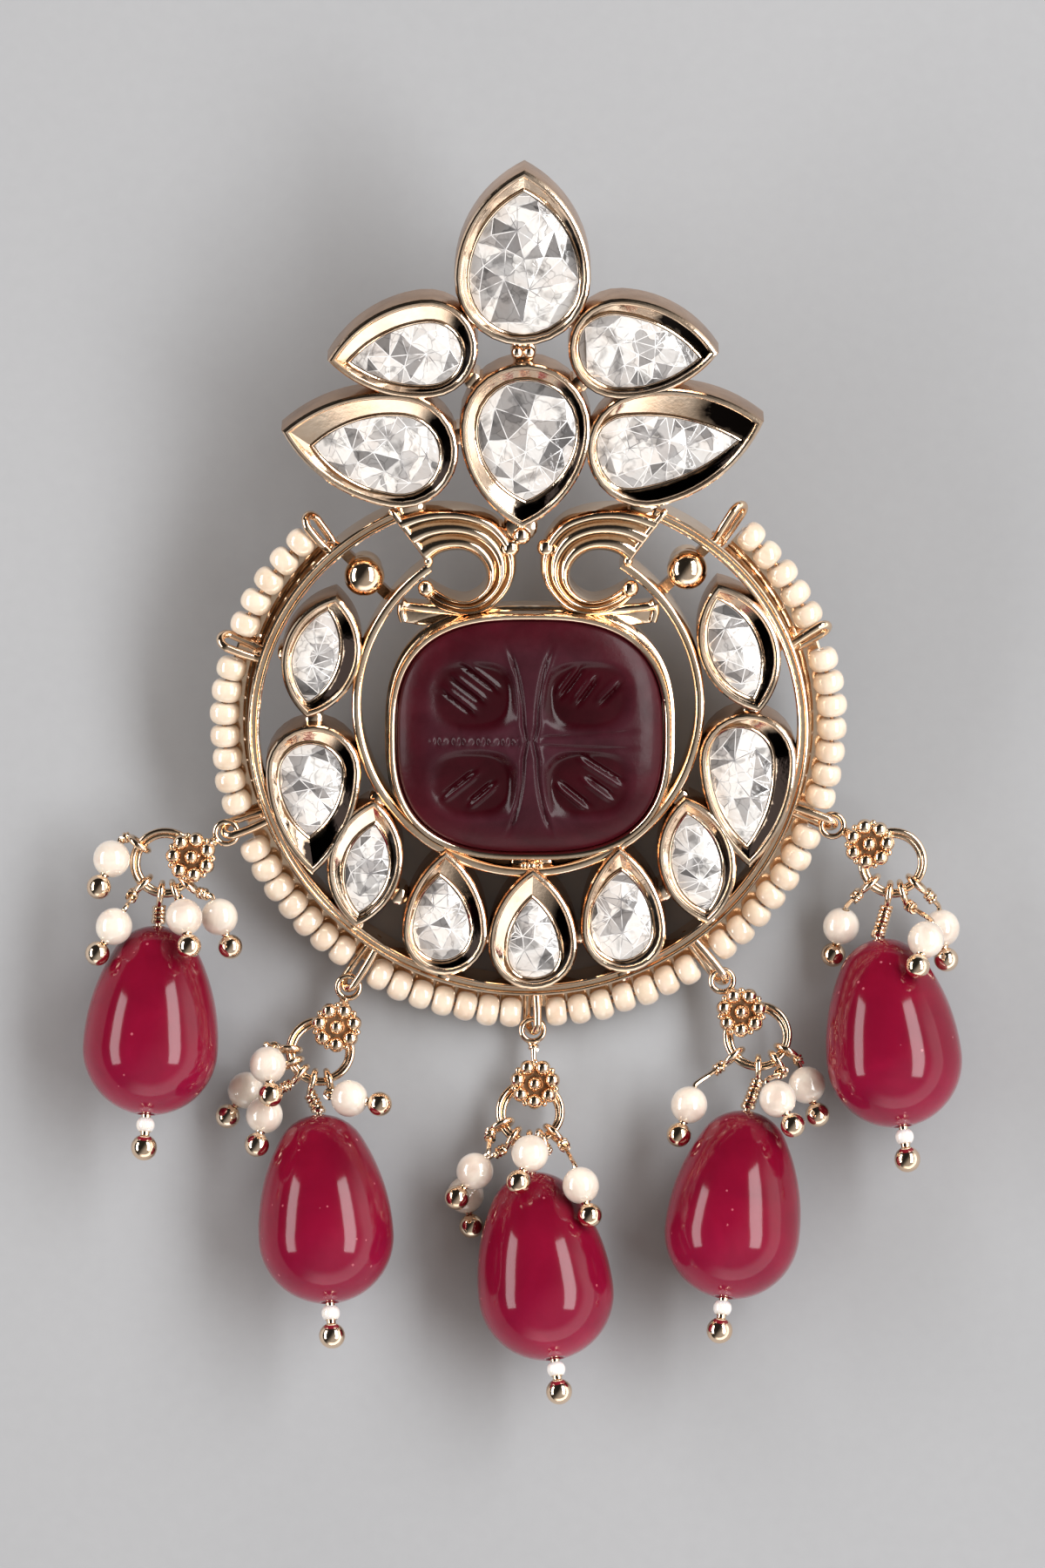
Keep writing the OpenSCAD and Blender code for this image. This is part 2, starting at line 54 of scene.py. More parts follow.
CUP_H, RAIL_H, RAIL_W, INNER_W = 3.0, 2.6, 0.62, 0.5
CUP_FLOOR, BALL_R, TILT = 0.5, 1.08, rad(13)
BEZEL_W, BEZEL_L, BEZEL_H, DOME = 15.1, 13.5, 3.4, 0.9
POST_R, PAD_R = 0.45, 2.2
SEED_R, SEED_L, PEARL_R = 0.83, 1.1, 1.0
DROP_R, DROP_L, BORE_R, END_BALL_R = 3.62, 10.2, 0.4, 0.7
RING_WIRE, RING_R, PIN_WIRE, LOOP_R = 0.28, 1.6, 0.16, 0.62
GAP = 0.04
OVAL_R, OVAL_C, SIDE_R, SIDE_A, SIDE_END = 15.0, (0.0, 0.6), 13.0, 193.0, 112.0
SIDE_C = (OVAL_C[0] + (OVAL_R - SIDE_R) * math.cos(rad(SIDE_A)), OVAL_C[1] + (OVAL_R - SIDE_R) * math.sin(rad(SIDE_A)))
FLANGE, FLANGE_H = 1.2, 0.35
SEED_Z = FLANGE_H + GAP + SEED_R
INNER_C, INNER_R = (0.0, 1.5), 9.4
BEZEL_C = (0.1, -0.05)
POST_AT = (-0.2, 24.2)
BOX_C = (-0.306, -2.602)
MID_Z = 0.02 + CUP_H * math.cos(TILT) + (OVAL_R + FLANGE - OVAL_C[1]) * math.sin(TILT)


def lift(u, v, w):
    """A point of the frame's plane in the row frame."""
    return Vector((u - BOX_C[0], v * math.cos(TILT) + (CUP_H - w) * math.sin(TILT) - BOX_C[1],
                   MID_Z + v * math.sin(TILT) - (CUP_H - w) * math.cos(TILT)))


def flat(x, y, z):
    return Vector((x - BOX_C[0], y - BOX_C[1], z))


IN_FRAME = Matrix.Translation(lift(0, 0, 0)) @ Matrix.Rotation(TILT, 4, "X")
POST_L = lift(0, POST_AT[1], 0)[2] / math.cos(TILT) - POST_R * math.tan(TILT)

# kind (0 pear, 1 marquise), heavy centre u, v, tip u, v, half width
CUPS = [
    (0, -0.3, 24.7, -0.2, 30.6, 3.62), (0, -0.15, 16.7, -0.35, 11.2, 3.5),
    (0, -5.35, 20.95, -10.65, 20.3, 2.7), (0, 4.85, 20.95, 10.1, 20.7, 2.75),
    (0, -6.8, 15.4, -13.1, 16.5, 3.12), (0, 6.25, 15.5, 12.5, 17.0, 3.18),
    (1, -11.0, 4.25, -10.2, 7.6, 2.1), (0, -11.45, -2.0, -11.5, -7.7, 2.55),
    (1, -8.7, -7.05, -8.2, -3.55, 2.03), (0, -4.45, -10.9, -4.4, -6.3, 2.3),
    (0, 0.25, -11.6, 0.25, -7.3, 2.4), (0, 5.1, -10.75, 4.85, -6.1, 2.3),
    (1, 9.0, -6.9, 8.35, -3.4, 2.1), (0, 11.7, -1.4, 11.8, -7.3, 2.6), (1, 11.2, 4.7, 10.05, 8.2, 2.15)]
# the stone's own outline in each cup
CUTS = [
    (0, -0.22, 24.54, -0.22, 29.3, 2.9), (0, -0.07, 16.51, -0.14, 12.64, 2.61),
    (0, -5.22, 20.6, -9.42, 20.15, 1.67), (0, 4.5, 20.67, 9.06, 20.37, 2.0),
    (0, -6.81, 15.09, -11.38, 15.62, 2.1), (0, 5.35, 15.24, 11.09, 15.91, 1.94),
    (1, -11.34, 4.08, -10.65, 6.65, 1.2), (0, -11.59, -2.31, -11.67, -5.65, 1.67),
    (1, -8.62, -7.44, -8.19, -5.06, 1.16), (0, -4.64, -10.93, -4.71, -7.89, 1.52),
    (0, 0.29, -12.12, 0.22, -9.08, 1.38), (0, 4.93, -10.79, 5.0, -7.59, 1.67),
    (1, 8.97, -7.15, 8.48, -4.46, 1.3), (0, 11.23, -1.49, 11.67, -6.1, 1.74), (1, 10.97, 4.5, 10.07, 7.25, 1.3)]
STONES = ["stone_top", "stone_middle", "stone_upper_left", "stone_upper_right", "stone_lower_left", "stone_lower_right"] + [
    f"stone_ring_{k}" for k in range(1, 10)]
JOINTS = [
    (-0.25, 20.7, 0.7), (-2.75, 22.4, 0.5), (2.35, 22.4, 0.5), (-2.95, 19.1, 0.5), (2.75, 18.95, 0.5), (-3.6, 16.1, 0.5),
    (3.2, 16.2, 0.5), (-6.2, 18.3, 0.5), (5.6, 18.45, 0.5), (-0.4, 11.2, 0.9), (-6.3, 12.3, 0.8), (6.1, 12.3, 0.8),
    (-12.9, 4.2, 0.45), (13.1, 4.6, 0.45), (-11.4, 0.7, 0.5), (11.9, 1.1, 0.5), (-8.0, -3.7, 0.5), (8.1, -3.6, 0.5),
    (-6.9, -9.0, 0.5), (7.2, -8.8, 0.5), (-2.15, -11.2, 0.4), (2.75, -11.2, 0.4), (-4.5, -13.3, 0.5), (5.1, -13.2, 0.5),
    (-9.2, -10.5, 0.45), (9.7, -10.3, 0.45), (-4.4, -6.9, 0.5), (0.2, -7.6, 0.6), (4.8, -6.8, 0.5)]
# eyelets: u, v, direction
EYES = [
    (-11.45, 11.15, 127), (-15.9, 4.75, 157), (-15.75, -5.45, 200), (-9.5, -13.75, 237), (0.22, -16.1, 270),
    (10.15, -13.45, 308), (15.85, -5.1, 338), (15.5, 5.35, 32), (11.1, 11.75, 57)]
# side, first angle, step, number of seed pearls
RUNS = [(-1, 135.6, 5.4, 5), (-1, 167.4, 4.97, 7), (0, 206.4, 4.3, 7), (0, 240.7, 4.33, 7),
        (0, 275.3, 4.37, 7), (0, 309.8, 4.4, 7), (1, -16.0, 5.1, 7), (1, 25.0, 5.25, 5)]
# eyelet, flower x, y, turn, ring x, y, z, azimuth, pitch, drop's top x, y, azimuth, pitch
HANG = [
    (2, -18.0, -6.5, 10, -19.4, -6.8, 3.35, 262, -8, -19.78, -10.2, 266.5, 9),
    (3, -10.25, -15.6, 0, -11.1, -16.9, 2.0, 255, 10, -11.2, -20.3, 273.6, 11),
    (4, 0.36, -18.65, 0, 0.14, -20.2, 1.55, 266, 16, 0.1, -23.4, 277.6, 12),
    (5, 11.4, -14.8, 0, 12.3, -16.1, 2.0, 270, 10, 11.72, -20.1, 262.6, 11),
    (6, 18.2, -5.8, -10, 19.5, -6.8, 3.35, 262, -8, 18.75, -10.9, 277.2, 9)]
# group, place on the ring, pearl x, y, z, towards the ball x, y, z
DANGLES = [
    (0, -118, -22.25, -6.6, 3.7, -22.85, -7.95, 4.1), (0, -38, -22.1, -10.2, 4.6, -22.9, -11.5, 4.5),
    (0, 28, -18.35, -9.7, 5.4, -18.1, -11.1, 6.0), (0, 55, -16.5, -9.7, 3.6, -15.95, -11.2, 3.5),
    (1, -78, -13.9, -17.6, 4.1, -13.75, -19.15, 4.7), (1, -52, -15.1, -19.0, 1.3, -15.85, -20.05, 1.3),
    (1, -26, -14.1, -20.3, 3.0, -14.4, -21.5, 3.4), (1, 30, -9.55, -19.4, 3.5, -8.4, -19.6, 3.8),
    (2, -62, -2.85, -23.3, 2.9, -3.85, -24.75, 2.9), (2, -30, -3.35, -24.6, 1.05, -3.05, -26.2, 1.0),
    (2, 26, 0.1, -22.3, 5.0, -0.55, -23.9, 5.5), (2, 50, 2.8, -24.0, 5.2, 3.25, -25.5, 5.6),
    (3, -50, 8.6, -19.75, 2.9, 8.1, -21.2, 3.1), (3, 36, 13.3, -19.4, 4.9, 14.0, -20.6, 5.4),
    (3, 62, 14.9, -18.7, 2.5, 15.4, -20.1, 2.7), (4, -40, 16.75, -10.2, 1.8, 16.4, -11.5, 1.3),
    (4, 26, 21.2, -10.9, 5.2, 20.7, -12.4, 6.1), (4, 56, 22.1, -10.3, 2.8, 22.35, -12.0, 2.7)]
DANGLE_BALL_R, BEAD_R, LOOP_OFF = 0.66, 0.5, 0.12
DROP_ARC = (64 + DROP_R ** 2) / (2 * DROP_R)
DROP_K = DROP_ARC - DROP_R
DROP_TOP = DROP_L - DROP_R
DROP_CC = (DROP_K ** 2 - (DROP_ARC - DROP_TOP) ** 2) / (2 * (DROP_ARC - DROP_TOP))
SMALL_R = DROP_TOP - DROP_CC
DROP_CUT = DROP_CC + SMALL_R * math.sin(math.atan2(DROP_CC, DROP_K))

# ---------- mesh helpers ----------


class Part:
    """Points and faces in millimetres, gathered before they become one mesh."""

    def __init__(self):
        self.v, self.f, self.mat, self.smooth, self.val, self.tone = [], [], [], [], [], []

    def add(self, verts, faces, mat=0, smooth=True, place=None, val=None, tone=None):
        n = len(self.v)
        for i, p in enumerate(verts):
            q = Vector(p)
            self.v.append(place @ q if place is not None else q)
            self.val.append(val[i] if val else 0.0)
        for i, face in enumerate(faces):
            self.f.append([n + k for k in face])
            self.mat.append(mat[i] if isinstance(mat, list) else mat)
            self.smooth.append(smooth)
            self.tone.append(tone[i] if tone else 0.5)


def piece(part, name, mats, nodes, angle=38):
    me = bpy.data.meshes.new(name)
    me.from_pydata([tuple(p * MM) for p in part.v], [], part.f)
    for m in mats:
        me.materials.append(m)
    me.polygons.foreach_set("material_index", part.mat)
    me.polygons.foreach_set("use_smooth", part.smooth)
    a = me.attributes.new("along", "FLOAT", "POINT")
    a.data.foreach_set("value", part.val)
    b = me.attributes.new("facet", "FLOAT", "FACE")
    b.data.foreach_set("value", part.tone)
    bm = bmesh.new()
    bm.from_mesh(me)
    bmesh.ops.recalc_face_normals(bm, faces=bm.faces)
    bm.to_mesh(me)
    bm.free()
    me.update()
    me.set_sharp_from_angle(angle=rad(angle))
    o = bpy.data.objects.new(name, me)
    bpy.context.scene.collection.objects.link(o)
    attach(o, "root")
    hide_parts(*nodes)
    return o


def loft(part, rows, closed=False, caps=True, row_mats=None, **kw):
    """Closed loops of equal length joined one to the next."""
    n, m = len(rows[0]), len(rows)
    verts = [p for row in rows for p in row]
    faces, mats = [], []
    for i in range(m if closed else m - 1):
        a, b = i * n, ((i + 1) % m) * n
        for k in range(n):
            j = (k + 1) % n
            faces.append((a + k, a + j, b + j, b + k))
            mats.append(row_mats[i] if row_mats else kw.get("mat", 0))
    if caps and not closed:
        faces.append(tuple(range(n - 1, -1, -1)))
        faces.append(tuple((m - 1) * n + k for k in range(n)))
        mats += [mats[0], mats[-1]]
    kw["mat"] = mats
    part.add(verts, faces, **kw)


def lathe(part, profile, n=24, place=None, mat=0, val=None, wob=None):
    """Turns (radius, height) points about Z; a radius of 0 closes the end."""
    verts, faces, vals, rows = [], [], [], []
    for i, (r, z) in enumerate(profile):
        if r <= 1e-9:
            rows.append([len(verts)])
            verts.append((0, 0, z))
            vals.append(val[i] if val else 0.0)
        else:
            row = []
            for k in range(n):
                a = 2 * math.pi * k / n
                rr = r * (wob(a, z) if wob else 1.0)
                row.append(len(verts))
                verts.append((rr * math.cos(a), rr * math.sin(a), z))
                vals.append(val[i] if val else 0.0)
            rows.append(row)
    pairs = list(zip(rows, rows[1:]))
    if profile[0][0] > 1e-9 and profile[-1][0] > 1e-9:
        pairs.append((rows[-1], rows[0]))
    for a, b in pairs:
        for k in range(n):
            j = (k + 1) % n
            if len(a) == 1 and len(b) == 1:
                continue
            if len(a) == 1:
                faces.append((a[0], b[j], b[k]))
            elif len(b) == 1:
                faces.append((a[k], a[j], b[0]))
            else:
                faces.append((a[k], a[j], b[j], b[k]))
    part.add(verts, faces, mat=mat, place=place, val=vals)


def ball(part, c, r, n=24, m=14, stretch=1.0, place=None, **kw):
    prof = [(r * math.sin(math.pi * i / m) if 0 < i < m else 0.0, -r * stretch * math.cos(math.pi * i / m)) for i in range(m + 1)]
    lathe(part, prof, n, place=(place if place is not None else Matrix.Identity(4)) @ Matrix.Translation(Vector(c)), **kw)


def tube(part, pts, r, n=10, closed=False, mat=0, place=None, radii=None, val=None):
    """A round wire along points, capped at its ends."""
    pts = [Vector(p) for p in pts]
    m = len(pts)
    tan = []
    for i in range(m):
        a = pts[(i - 1) % m] if closed or i else pts[0]
        b = pts[(i + 1) % m] if closed or i < m - 1 else pts[-1]
        tan.append((b - a).normalized())
    ref = Vector((0, 0, 1)) if abs(tan[0].z) < 0.9 else Vector((1, 0, 0))
    x = (ref - tan[0] * ref.dot(tan[0])).normalized()
    frames = []
    for i in range(m):
        if i:
            q = tan[i - 1].rotation_difference(tan[i])
            x = (q @ x)
            x = (x - tan[i] * x.dot(tan[i])).normalized()
        frames.append((x.copy(), tan[i].cross(x)))
    twist = 0.0
    if closed:
        q = tan[-1].rotation_difference(tan[0])
        back = q @ frames[-1][0]
        twist = math.atan2(back.dot(frames[0][1]), back.dot(frames[0][0]))
    rows = []
    for i in range(m):
        off = -twist * i / m
        rr = radii[i] if radii else r
        rows.append([pts[i] + frames[i][0] * (rr * math.cos(2 * math.pi * k / n + off)) + frames[i][1] * (rr * math.sin(2 * math.pi * k / n + off)) for k in range(n)])
    loft(part, rows, closed=closed, mat=mat, place=place)


def spline(pts, k=6, closed=False):
    """Catmull-Rom through points of any size."""
    pts = [Vector(p) for p in pts]
    m = len(pts)
    out = []
    for i in range(m if closed else m - 1):
        p0 = pts[(i - 1) % m] if closed or i else pts[0] * 2 - pts[1]
        p1, p2 = pts[i], pts[(i + 1) % m]
        p3 = pts[(i + 2) % m] if closed or i < m - 2 else pts[-1] * 2 - pts[-2]
        for j in range(k):
            t = j / k
            out.append(0.5 * ((2 * p1) + (p2 - p0) * t + (2 * p0 - 5 * p1 + 4 * p2 - p3) * t * t + (3 * p1 - p0 - 3 * p2 + p3) * t ** 3))
    if not closed:
        out.append(pts[-1])
    return out


def resample(pts, n):
    """n points at equal steps along a line."""
    d = [0.0]
    for a, b in zip(pts, pts[1:]):
        d.append(d[-1] + (b - a).length)
    out, j = [], 0
    for i in range(n):
        t = d[-1] * i / (n - 1)
        while j < len(d) - 2 and d[j + 1] < t:
            j += 1
        f = (t - d[j]) / max(d[j + 1] - d[j], 1e-9)
        out.append(pts[j].lerp(pts[j + 1], f))
    return out


def circle_pts(r, n, place):
    return [place @ Vector((r * math.cos(2 * math.pi * k / n), r * math.sin(2 * math.pi * k / n), 0)) for k in range(n)]


def aim(p, d):
    """Places +Z along d, from p."""
    return Matrix.Translation(Vector(p)) @ Vector((0, 0, 1)).rotation_difference(Vector(d).normalized()).to_matrix().to_4x4()


# ---------- outlines in the frame's plane ----------


def outline(c, d=0.0, n=14):
    """Pear or marquise drawn in by d, from its widest point on the right, anticlockwise."""
    kind, hu, hv, tu, tv, r = c
    h = math.hypot(tu - hu, tv - hv)
    R = (h * h + r * r) / (2 * r)
    a = math.atan2(tv - hv, tu - hu) - math.pi / 2
    ft = math.acos(max(-1.0, min(1.0, (R - r) / (R - d))))
    up = [((r - R) + (R - d) * math.cos(ft * i / n), (R - d) * math.sin(ft * i / n)) for i in range(n + 1)]
    pts = up + [(-x, y) for x, y in reversed(up[:-1])]
    if kind == 0:
        pts += [((r - d) * math.cos(math.pi * (1 + i / n)), (r - d) * math.sin(math.pi * (1 + i / n))) for i in range(1, n)]
    else:
        pts += [(-x, -y) for x, y in up[1:]] + [(x, -y) for x, y in reversed(up[1:-1])]
    ca, sa = math.cos(a), math.sin(a)
    return [(hu + x * ca - y * sa, hv + x * sa + y * ca) for x, y in pts]


def inside(c, p):
    """How far a point is inside the outline of c."""
    kind, hu, hv, tu, tv, r = c
    h = math.hypot(tu - hu, tv - hv)
    R = (h * h + r * r) / (2 * r)
    a = math.atan2(tv - hv, tu - hu) - math.pi / 2
    x = (p[0] - hu) * math.cos(a) + (p[1] - hv) * math.sin(a)
    y = -(p[0] - hu) * math.sin(a) + (p[1] - hv) * math.cos(a)
    if kind == 0 and y < 0:
        return r - math.hypot(x, y)
    return min(R - math.hypot(x - (r - R), y), R - math.hypot(x + (r - R), y))


def cut_line(i, d=0.0):
    """The stone's outline in cup i, kept clear of the cup's rim."""
    c, s = CUPS[i], CUTS[i]
    mid = Vector((s[1] * 0.7 + s[3] * 0.3, s[2] * 0.7 + s[4] * 0.3)) if s[0] == 0 else Vector((s[1], s[2]))
    out = []
    for p in outline(s, d):
        q = Vector(p)
        for _ in range(60):
            if inside(c, q) >= 0.56 + d * 0.9:
                break
            q = mid + (q - mid) * 0.99
        out.append((q.x, q.y))
    return out


def cushion(a, b, n=2.75, k=120):
    out = []
    for i in range(k):
        t = 2 * math.pi * i / k
        c, s = math.cos(t), math.sin(t)
        out.append((a * math.copysign(abs(c) ** (2 / n), c), b * math.copysign(abs(s) ** (2 / n), s)))
    return out


def oval_path(grow=0.0, start=SIDE_END):
    """Points and outward directions along the outer rail's three arcs."""
    out = []
    arcs = [(SIDE_C, SIDE_R, start, SIDE_A, 44), (OVAL_C, OVAL_R, SIDE_A, 540 - SIDE_A, 96),
            ((-SIDE_C[0], SIDE_C[1]), SIDE_R, 180 - SIDE_A, 180 - start, 44)]
    for q, (c, r, a0, a1, k) in enumerate(arcs):
        for i in range(k + (1 if q == 2 else 0)):
            a = rad(a0 + (a1 - a0) * i / k)
            n = (math.cos(a), math.sin(a))
            out.append(((c[0] + (r + grow) * n[0], c[1] + (r + grow) * n[1]), n))
    return out


def run_profile(part, path, profile, **kw):
    """A profile of (outward, w) points carried along a path in the plane."""
    rows = [[(p[0] + n[0] * s, p[1] + n[1] * s, w) for s, w in profile] for p, n in path]
    loft(part, rows, place=IN_FRAME, **kw)


def lip(s0, s1, w, r=0.13):
    """A rounded strip top between s0 and s1 at height w, as profile points."""
    m, h = (s0 + s1) / 2, abs(s1 - s0) / 2
    sg = 1 if s1 > s0 else -1
    return [(m - sg * h * math.cos(math.pi * i / 6), w - r + r * math.sin(math.pi * i / 6)) for i in range(7)]


# ---------- materials ----------


class Mat:
    def __init__(self, name, **sockets):
        self.m = bpy.data.materials.new(name)
        self.m.use_nodes = True
        self.t = self.m.node_tree
        self.t.nodes.clear()
        out = self.t.nodes.new("ShaderNodeOutputMaterial")
        self.b = self.t.nodes.new("ShaderNodeBsdfPrincipled")
        self.t.links.new(self.b.outputs[0], out.inputs[0])
        for k, v in sockets.items():
            self.b.inputs[k.replace("_", " ")].default_value = v
        self.co = self.t.nodes.new("ShaderNodeTexCoord").outputs["Object"]

    def node(self, kind, ins=None, **props):
        n = self.t.nodes.new(kind)
        for k, v in props.items():
            setattr(n, k, v)
        for k, v in (ins or {}).items():
            self.put(n.inputs[k], v)
        return n

    def put(self, socket, v):
        if isinstance(v, bpy.types.NodeSocket):
            self.t.links.new(v, socket)
        else:
            socket.default_value = v

    def noise(self, size, detail=3.0, rough=0.55, distort=0.0, co=None):
        """Noise with features of about size millimetres, 0 to 1."""
        return self.node("ShaderNodeTexNoise", {"Vector": co or self.co, "Scale": 1000.0 / size, "Detail": detail,
                                                "Roughness": rough, "Distortion": distort}).outputs["Fac"]

    def cells(self, size, feature="F1", co=None, out="Distance", rand=1.0):
        return self.node("ShaderNodeTexVoronoi", {"Vector": co or self.co, "Scale": 1000.0 / size, "Randomness": rand}, feature=feature).outputs[out]

    def ramp(self, fac, stops):
        n = self.node("ShaderNodeValToRGB", {"Fac": fac})
        e = n.color_ramp.elements
        while len(e) > 1:
            e.remove(e[0])
        for i, (pos, col) in enumerate(stops):
            s = e[0] if i == 0 else e.new(pos)
            s.position = pos
            s.color = (col[0], col[1], col[2], 1.0) if not isinstance(col, (int, float)) else (col, col, col, 1.0)
        return n.outputs["Color"]

    def span(self, v, a, b, c, d):
        return self.node("ShaderNodeMapRange", {"Value": v, "From Min": a, "From Max": b, "To Min": c, "To Max": d}).outputs["Result"]

    def mix(self, fac, a, b, kind="MIX"):
        n = self.node("ShaderNodeMix", data_type="RGBA", blend_type=kind)
        self.put(n.inputs[0], fac)
        self.put(n.inputs[6], a if isinstance(a, bpy.types.NodeSocket) else (*a, 1.0))
        self.put(n.inputs[7], b if isinstance(b, bpy.types.NodeSocket) else (*b, 1.0))
        return n.outputs[2]

    def math(self, op, a, b=0.0):
        n = self.node("ShaderNodeMath", operation=op)
        self.put(n.inputs[0], a)
        self.put(n.inputs[1], b)
        return n.outputs[0]

    def attr(self, name):
        return self.node("ShaderNodeAttribute", attribute_name=name, attribute_type="GEOMETRY").outputs["Fac"]

    def bump(self, height, mm, strength=1.0, after=None):
        ins = {"Height": height, "Distance": mm * MM, "Strength": strength}
        if after is not None:
            ins["Normal"] = after
        return self.node("ShaderNodeBump", ins).outputs["Normal"]

    def set(self, **kw):
        for k, v in kw.items():
            self.put(self.b.inputs[k.replace("_", " ")], v)
        return self.m


def gold(name, light, deep, rough=(0.10, 0.2), grain=0.012, painted_dark_walls=False):
    m = Mat(name, Metallic=1.0)
    cloud = m.noise(2.2, 4.0)
    fine = m.noise(0.22, 3.0)
    tone = m.ramp(cloud, [(0.35, deep), (0.62, light)])
    wear = m.ramp(m.noise(0.6, 5.0, 0.65), [(0.30, (0.80, 0.70, 0.62)), (0.48, (1, 1, 1))])
    colour = m.mix(0.25, tone, wear, "MULTIPLY")
    # painted dark reflection: for the cup walls the colour goes to near black where the along mask is high, standing in
    # for the dark room the walls mirror
    if painted_dark_walls:
        painted_dark_mask = m.math("MULTIPLY", m.attr("along"), m.span(m.noise(0.8, 4.0), 0.35, 0.6, 0.8, 1.1))
        colour = m.mix(m.span(painted_dark_mask, 0.12, 0.8, 0.0, 1.0), colour, (0.009, 0.0065, 0.0055))
    bumps = m.bump(m.noise(0.9, 2.0), 0.014, 0.45)
    bumps = m.bump(fine, grain, 0.5, after=bumps)
    return m.set(Base_Color=colour, Roughness=m.span(m.noise(0.5, 4.0), 0.3, 0.7, rough[0], rough[1]), Normal=bumps)


GOLD = gold("rose_gold_polished", (0.97, 0.77, 0.58), (0.90, 0.66, 0.46), rough=(0.06, 0.13))
# the cup walls' gold, with a painted dark reflection on their right and lower sides
GOLD_WALL = gold("rose_gold_walls_painted_dark", (0.97, 0.77, 0.59), (0.88, 0.64, 0.45), rough=(0.07, 0.15), grain=0.012, painted_dark_walls=True)
# painted shade: a darker copy of the gold for the cups' outer walls and the low arms at the rail balls, where shade
# falls on the metal
GOLD_SIDE_SHADED = gold("rose_gold_sides_painted_shade", (0.64, 0.40, 0.24), (0.46, 0.27, 0.15), rough=(0.14, 0.26), grain=0.02)
# painted shade: a darker, more coppery copy of the gold for recesses, the disc under each flower's granules and the
# thread between the seed pearls
GOLD_RECESS_SHADED = gold("copper_gold_recess_painted_shade", (0.70, 0.40, 0.22), (0.50, 0.26, 0.13), rough=(0.22, 0.4), grain=0.03)
GOLD_WIRE = gold("rose_gold_wire", (0.95, 0.73, 0.53), (0.86, 0.60, 0.40), rough=(0.08, 0.17), grain=0.01)


def clear_foil():
    m = Mat("foil_backed_stone_painted_reflection", Metallic=0.15, Coat_Weight=0.8, Coat_Roughness=0.03, Coat_IOR=1.55)
    shift = m.node("ShaderNodeTexNoise", {"Vector": m.co, "Scale": 800.0, "Detail": 2.0}).outputs["Color"]
    bent = m.node("ShaderNodeVectorMath", {0: m.co, 1: m.node("ShaderNodeVectorMath", {0: shift, 3: 0.0011}, operation="SCALE").outputs[0]}, operation="ADD").outputs[0]
    # painted reflection: the facet tones, chips, crumple lines and dark patches below are greys and whites put into the
    # colour, standing in for the light and dark the crumpled foil mirrors
    base = m.ramp(m.attr("facet"), [(0.0, (0.17, 0.168, 0.17)), (0.15, (0.36, 0.355, 0.355)), (0.34, (0.64, 0.635, 0.63)), (0.6, (0.81, 0.81, 0.80)), (1.0, (0.88, 0.88, 0.87))])
    grey = m.node("ShaderNodeSeparateColor", {0: m.cells(1.15, "F1", co=bent, out="Color")}).outputs[0]
    chips = m.ramp(grey, [(0.0, (0.26, 0.26, 0.27)), (0.12, (0.5, 0.5, 0.51)), (0.26, (0.96, 0.96, 0.95)), (1.0, (1.0, 1.0, 0.99))])
    lines = m.ramp(m.cells(1.15, "DISTANCE_TO_EDGE", co=bent), [(0.0, (0.50, 0.49, 0.49)), (0.022, (0.9, 0.9, 0.9)), (0.05, (1, 1, 1))])
    warm = m.ramp(m.noise(1.6, 2.0), [(0.42, (1, 1, 1)), (0.62, (1.0, 0.95, 0.92))])
    colour = m.mix(0.85, m.mix(0.75, base, chips, "MULTIPLY"), lines, "MULTIPLY")
    colour = m.mix(0.8, colour, warm, "MULTIPLY")
    painted_dark_patches = m.ramp(m.noise(1.5, 3.0, 0.5, 0.9), [(0.34, (0.33, 0.325, 0.325)), (0.46, (1, 1, 1))])
    colour = m.mix(0.8, colour, painted_dark_patches, "MULTIPLY")
    foil = m.bump(m.noise(0.9, 2.0, 0.5, 1.2), 0.14, 0.7)
    foil = m.bump(grey, 0.05, 0.6, after=foil)
    return m.set(Base_Color=colour, Roughness=m.span(m.noise(0.7, 3.0), 0.3, 0.7, 0.10, 0.24), Normal=foil)


def ruby():
    m = Mat("ruby_glass_drop", Coat_Weight=1.0, Coat_Roughness=0.10, Coat_IOR=1.37, Specular_IOR_Level=0.02, Subsurface_Weight=0.2, Subsurface_Scale=0.0012)
    m.b.inputs["Subsurface Radius"].default_value = (1.0, 0.12, 0.18)
    along = m.attr("along")
    # painted light: along the drop the colour is lighter and pinker towards the round end, and a little lighter at the
    # narrow tip, as a painted glow
    body = m.ramp(along, [(0.0, (0.34, 0.020, 0.062)), (0.12, (0.235, 0.0070, 0.036)), (0.35, (0.188, 0.0038, 0.023)), (0.8, (0.160, 0.0028, 0.017)), (1.0, (0.18, 0.004, 0.020))])
    cloud = m.ramp(m.noise(3.2, 4.0, 0.55, 0.6), [(0.3, (0.78, 0.75, 0.78)), (0.7, (1.12, 1.1, 1.1))])
    colour = m.mix(0.8, body, cloud, "MULTIPLY")
    flecks = m.math("LESS_THAN", m.cells(0.75), 0.10)
    few = m.math("MULTIPLY", flecks, m.math("GREATER_THAN", m.noise(1.9, 1.0), 0.56))
    colour = m.mix(m.math("MULTIPLY", few, 0.35), colour, (0.75, 0.25, 0.30))
    dents = m.bump(m.noise(2.6, 2.0), 0.05, 0.35)
    dents = m.bump(m.noise(0.12, 2.0), 0.002, 0.5, after=dents)
    return m.set(Base_Color=colour, Roughness=m.span(m.noise(1.4, 4.0), 0.3, 0.7, 0.10, 0.20), Normal=dents)


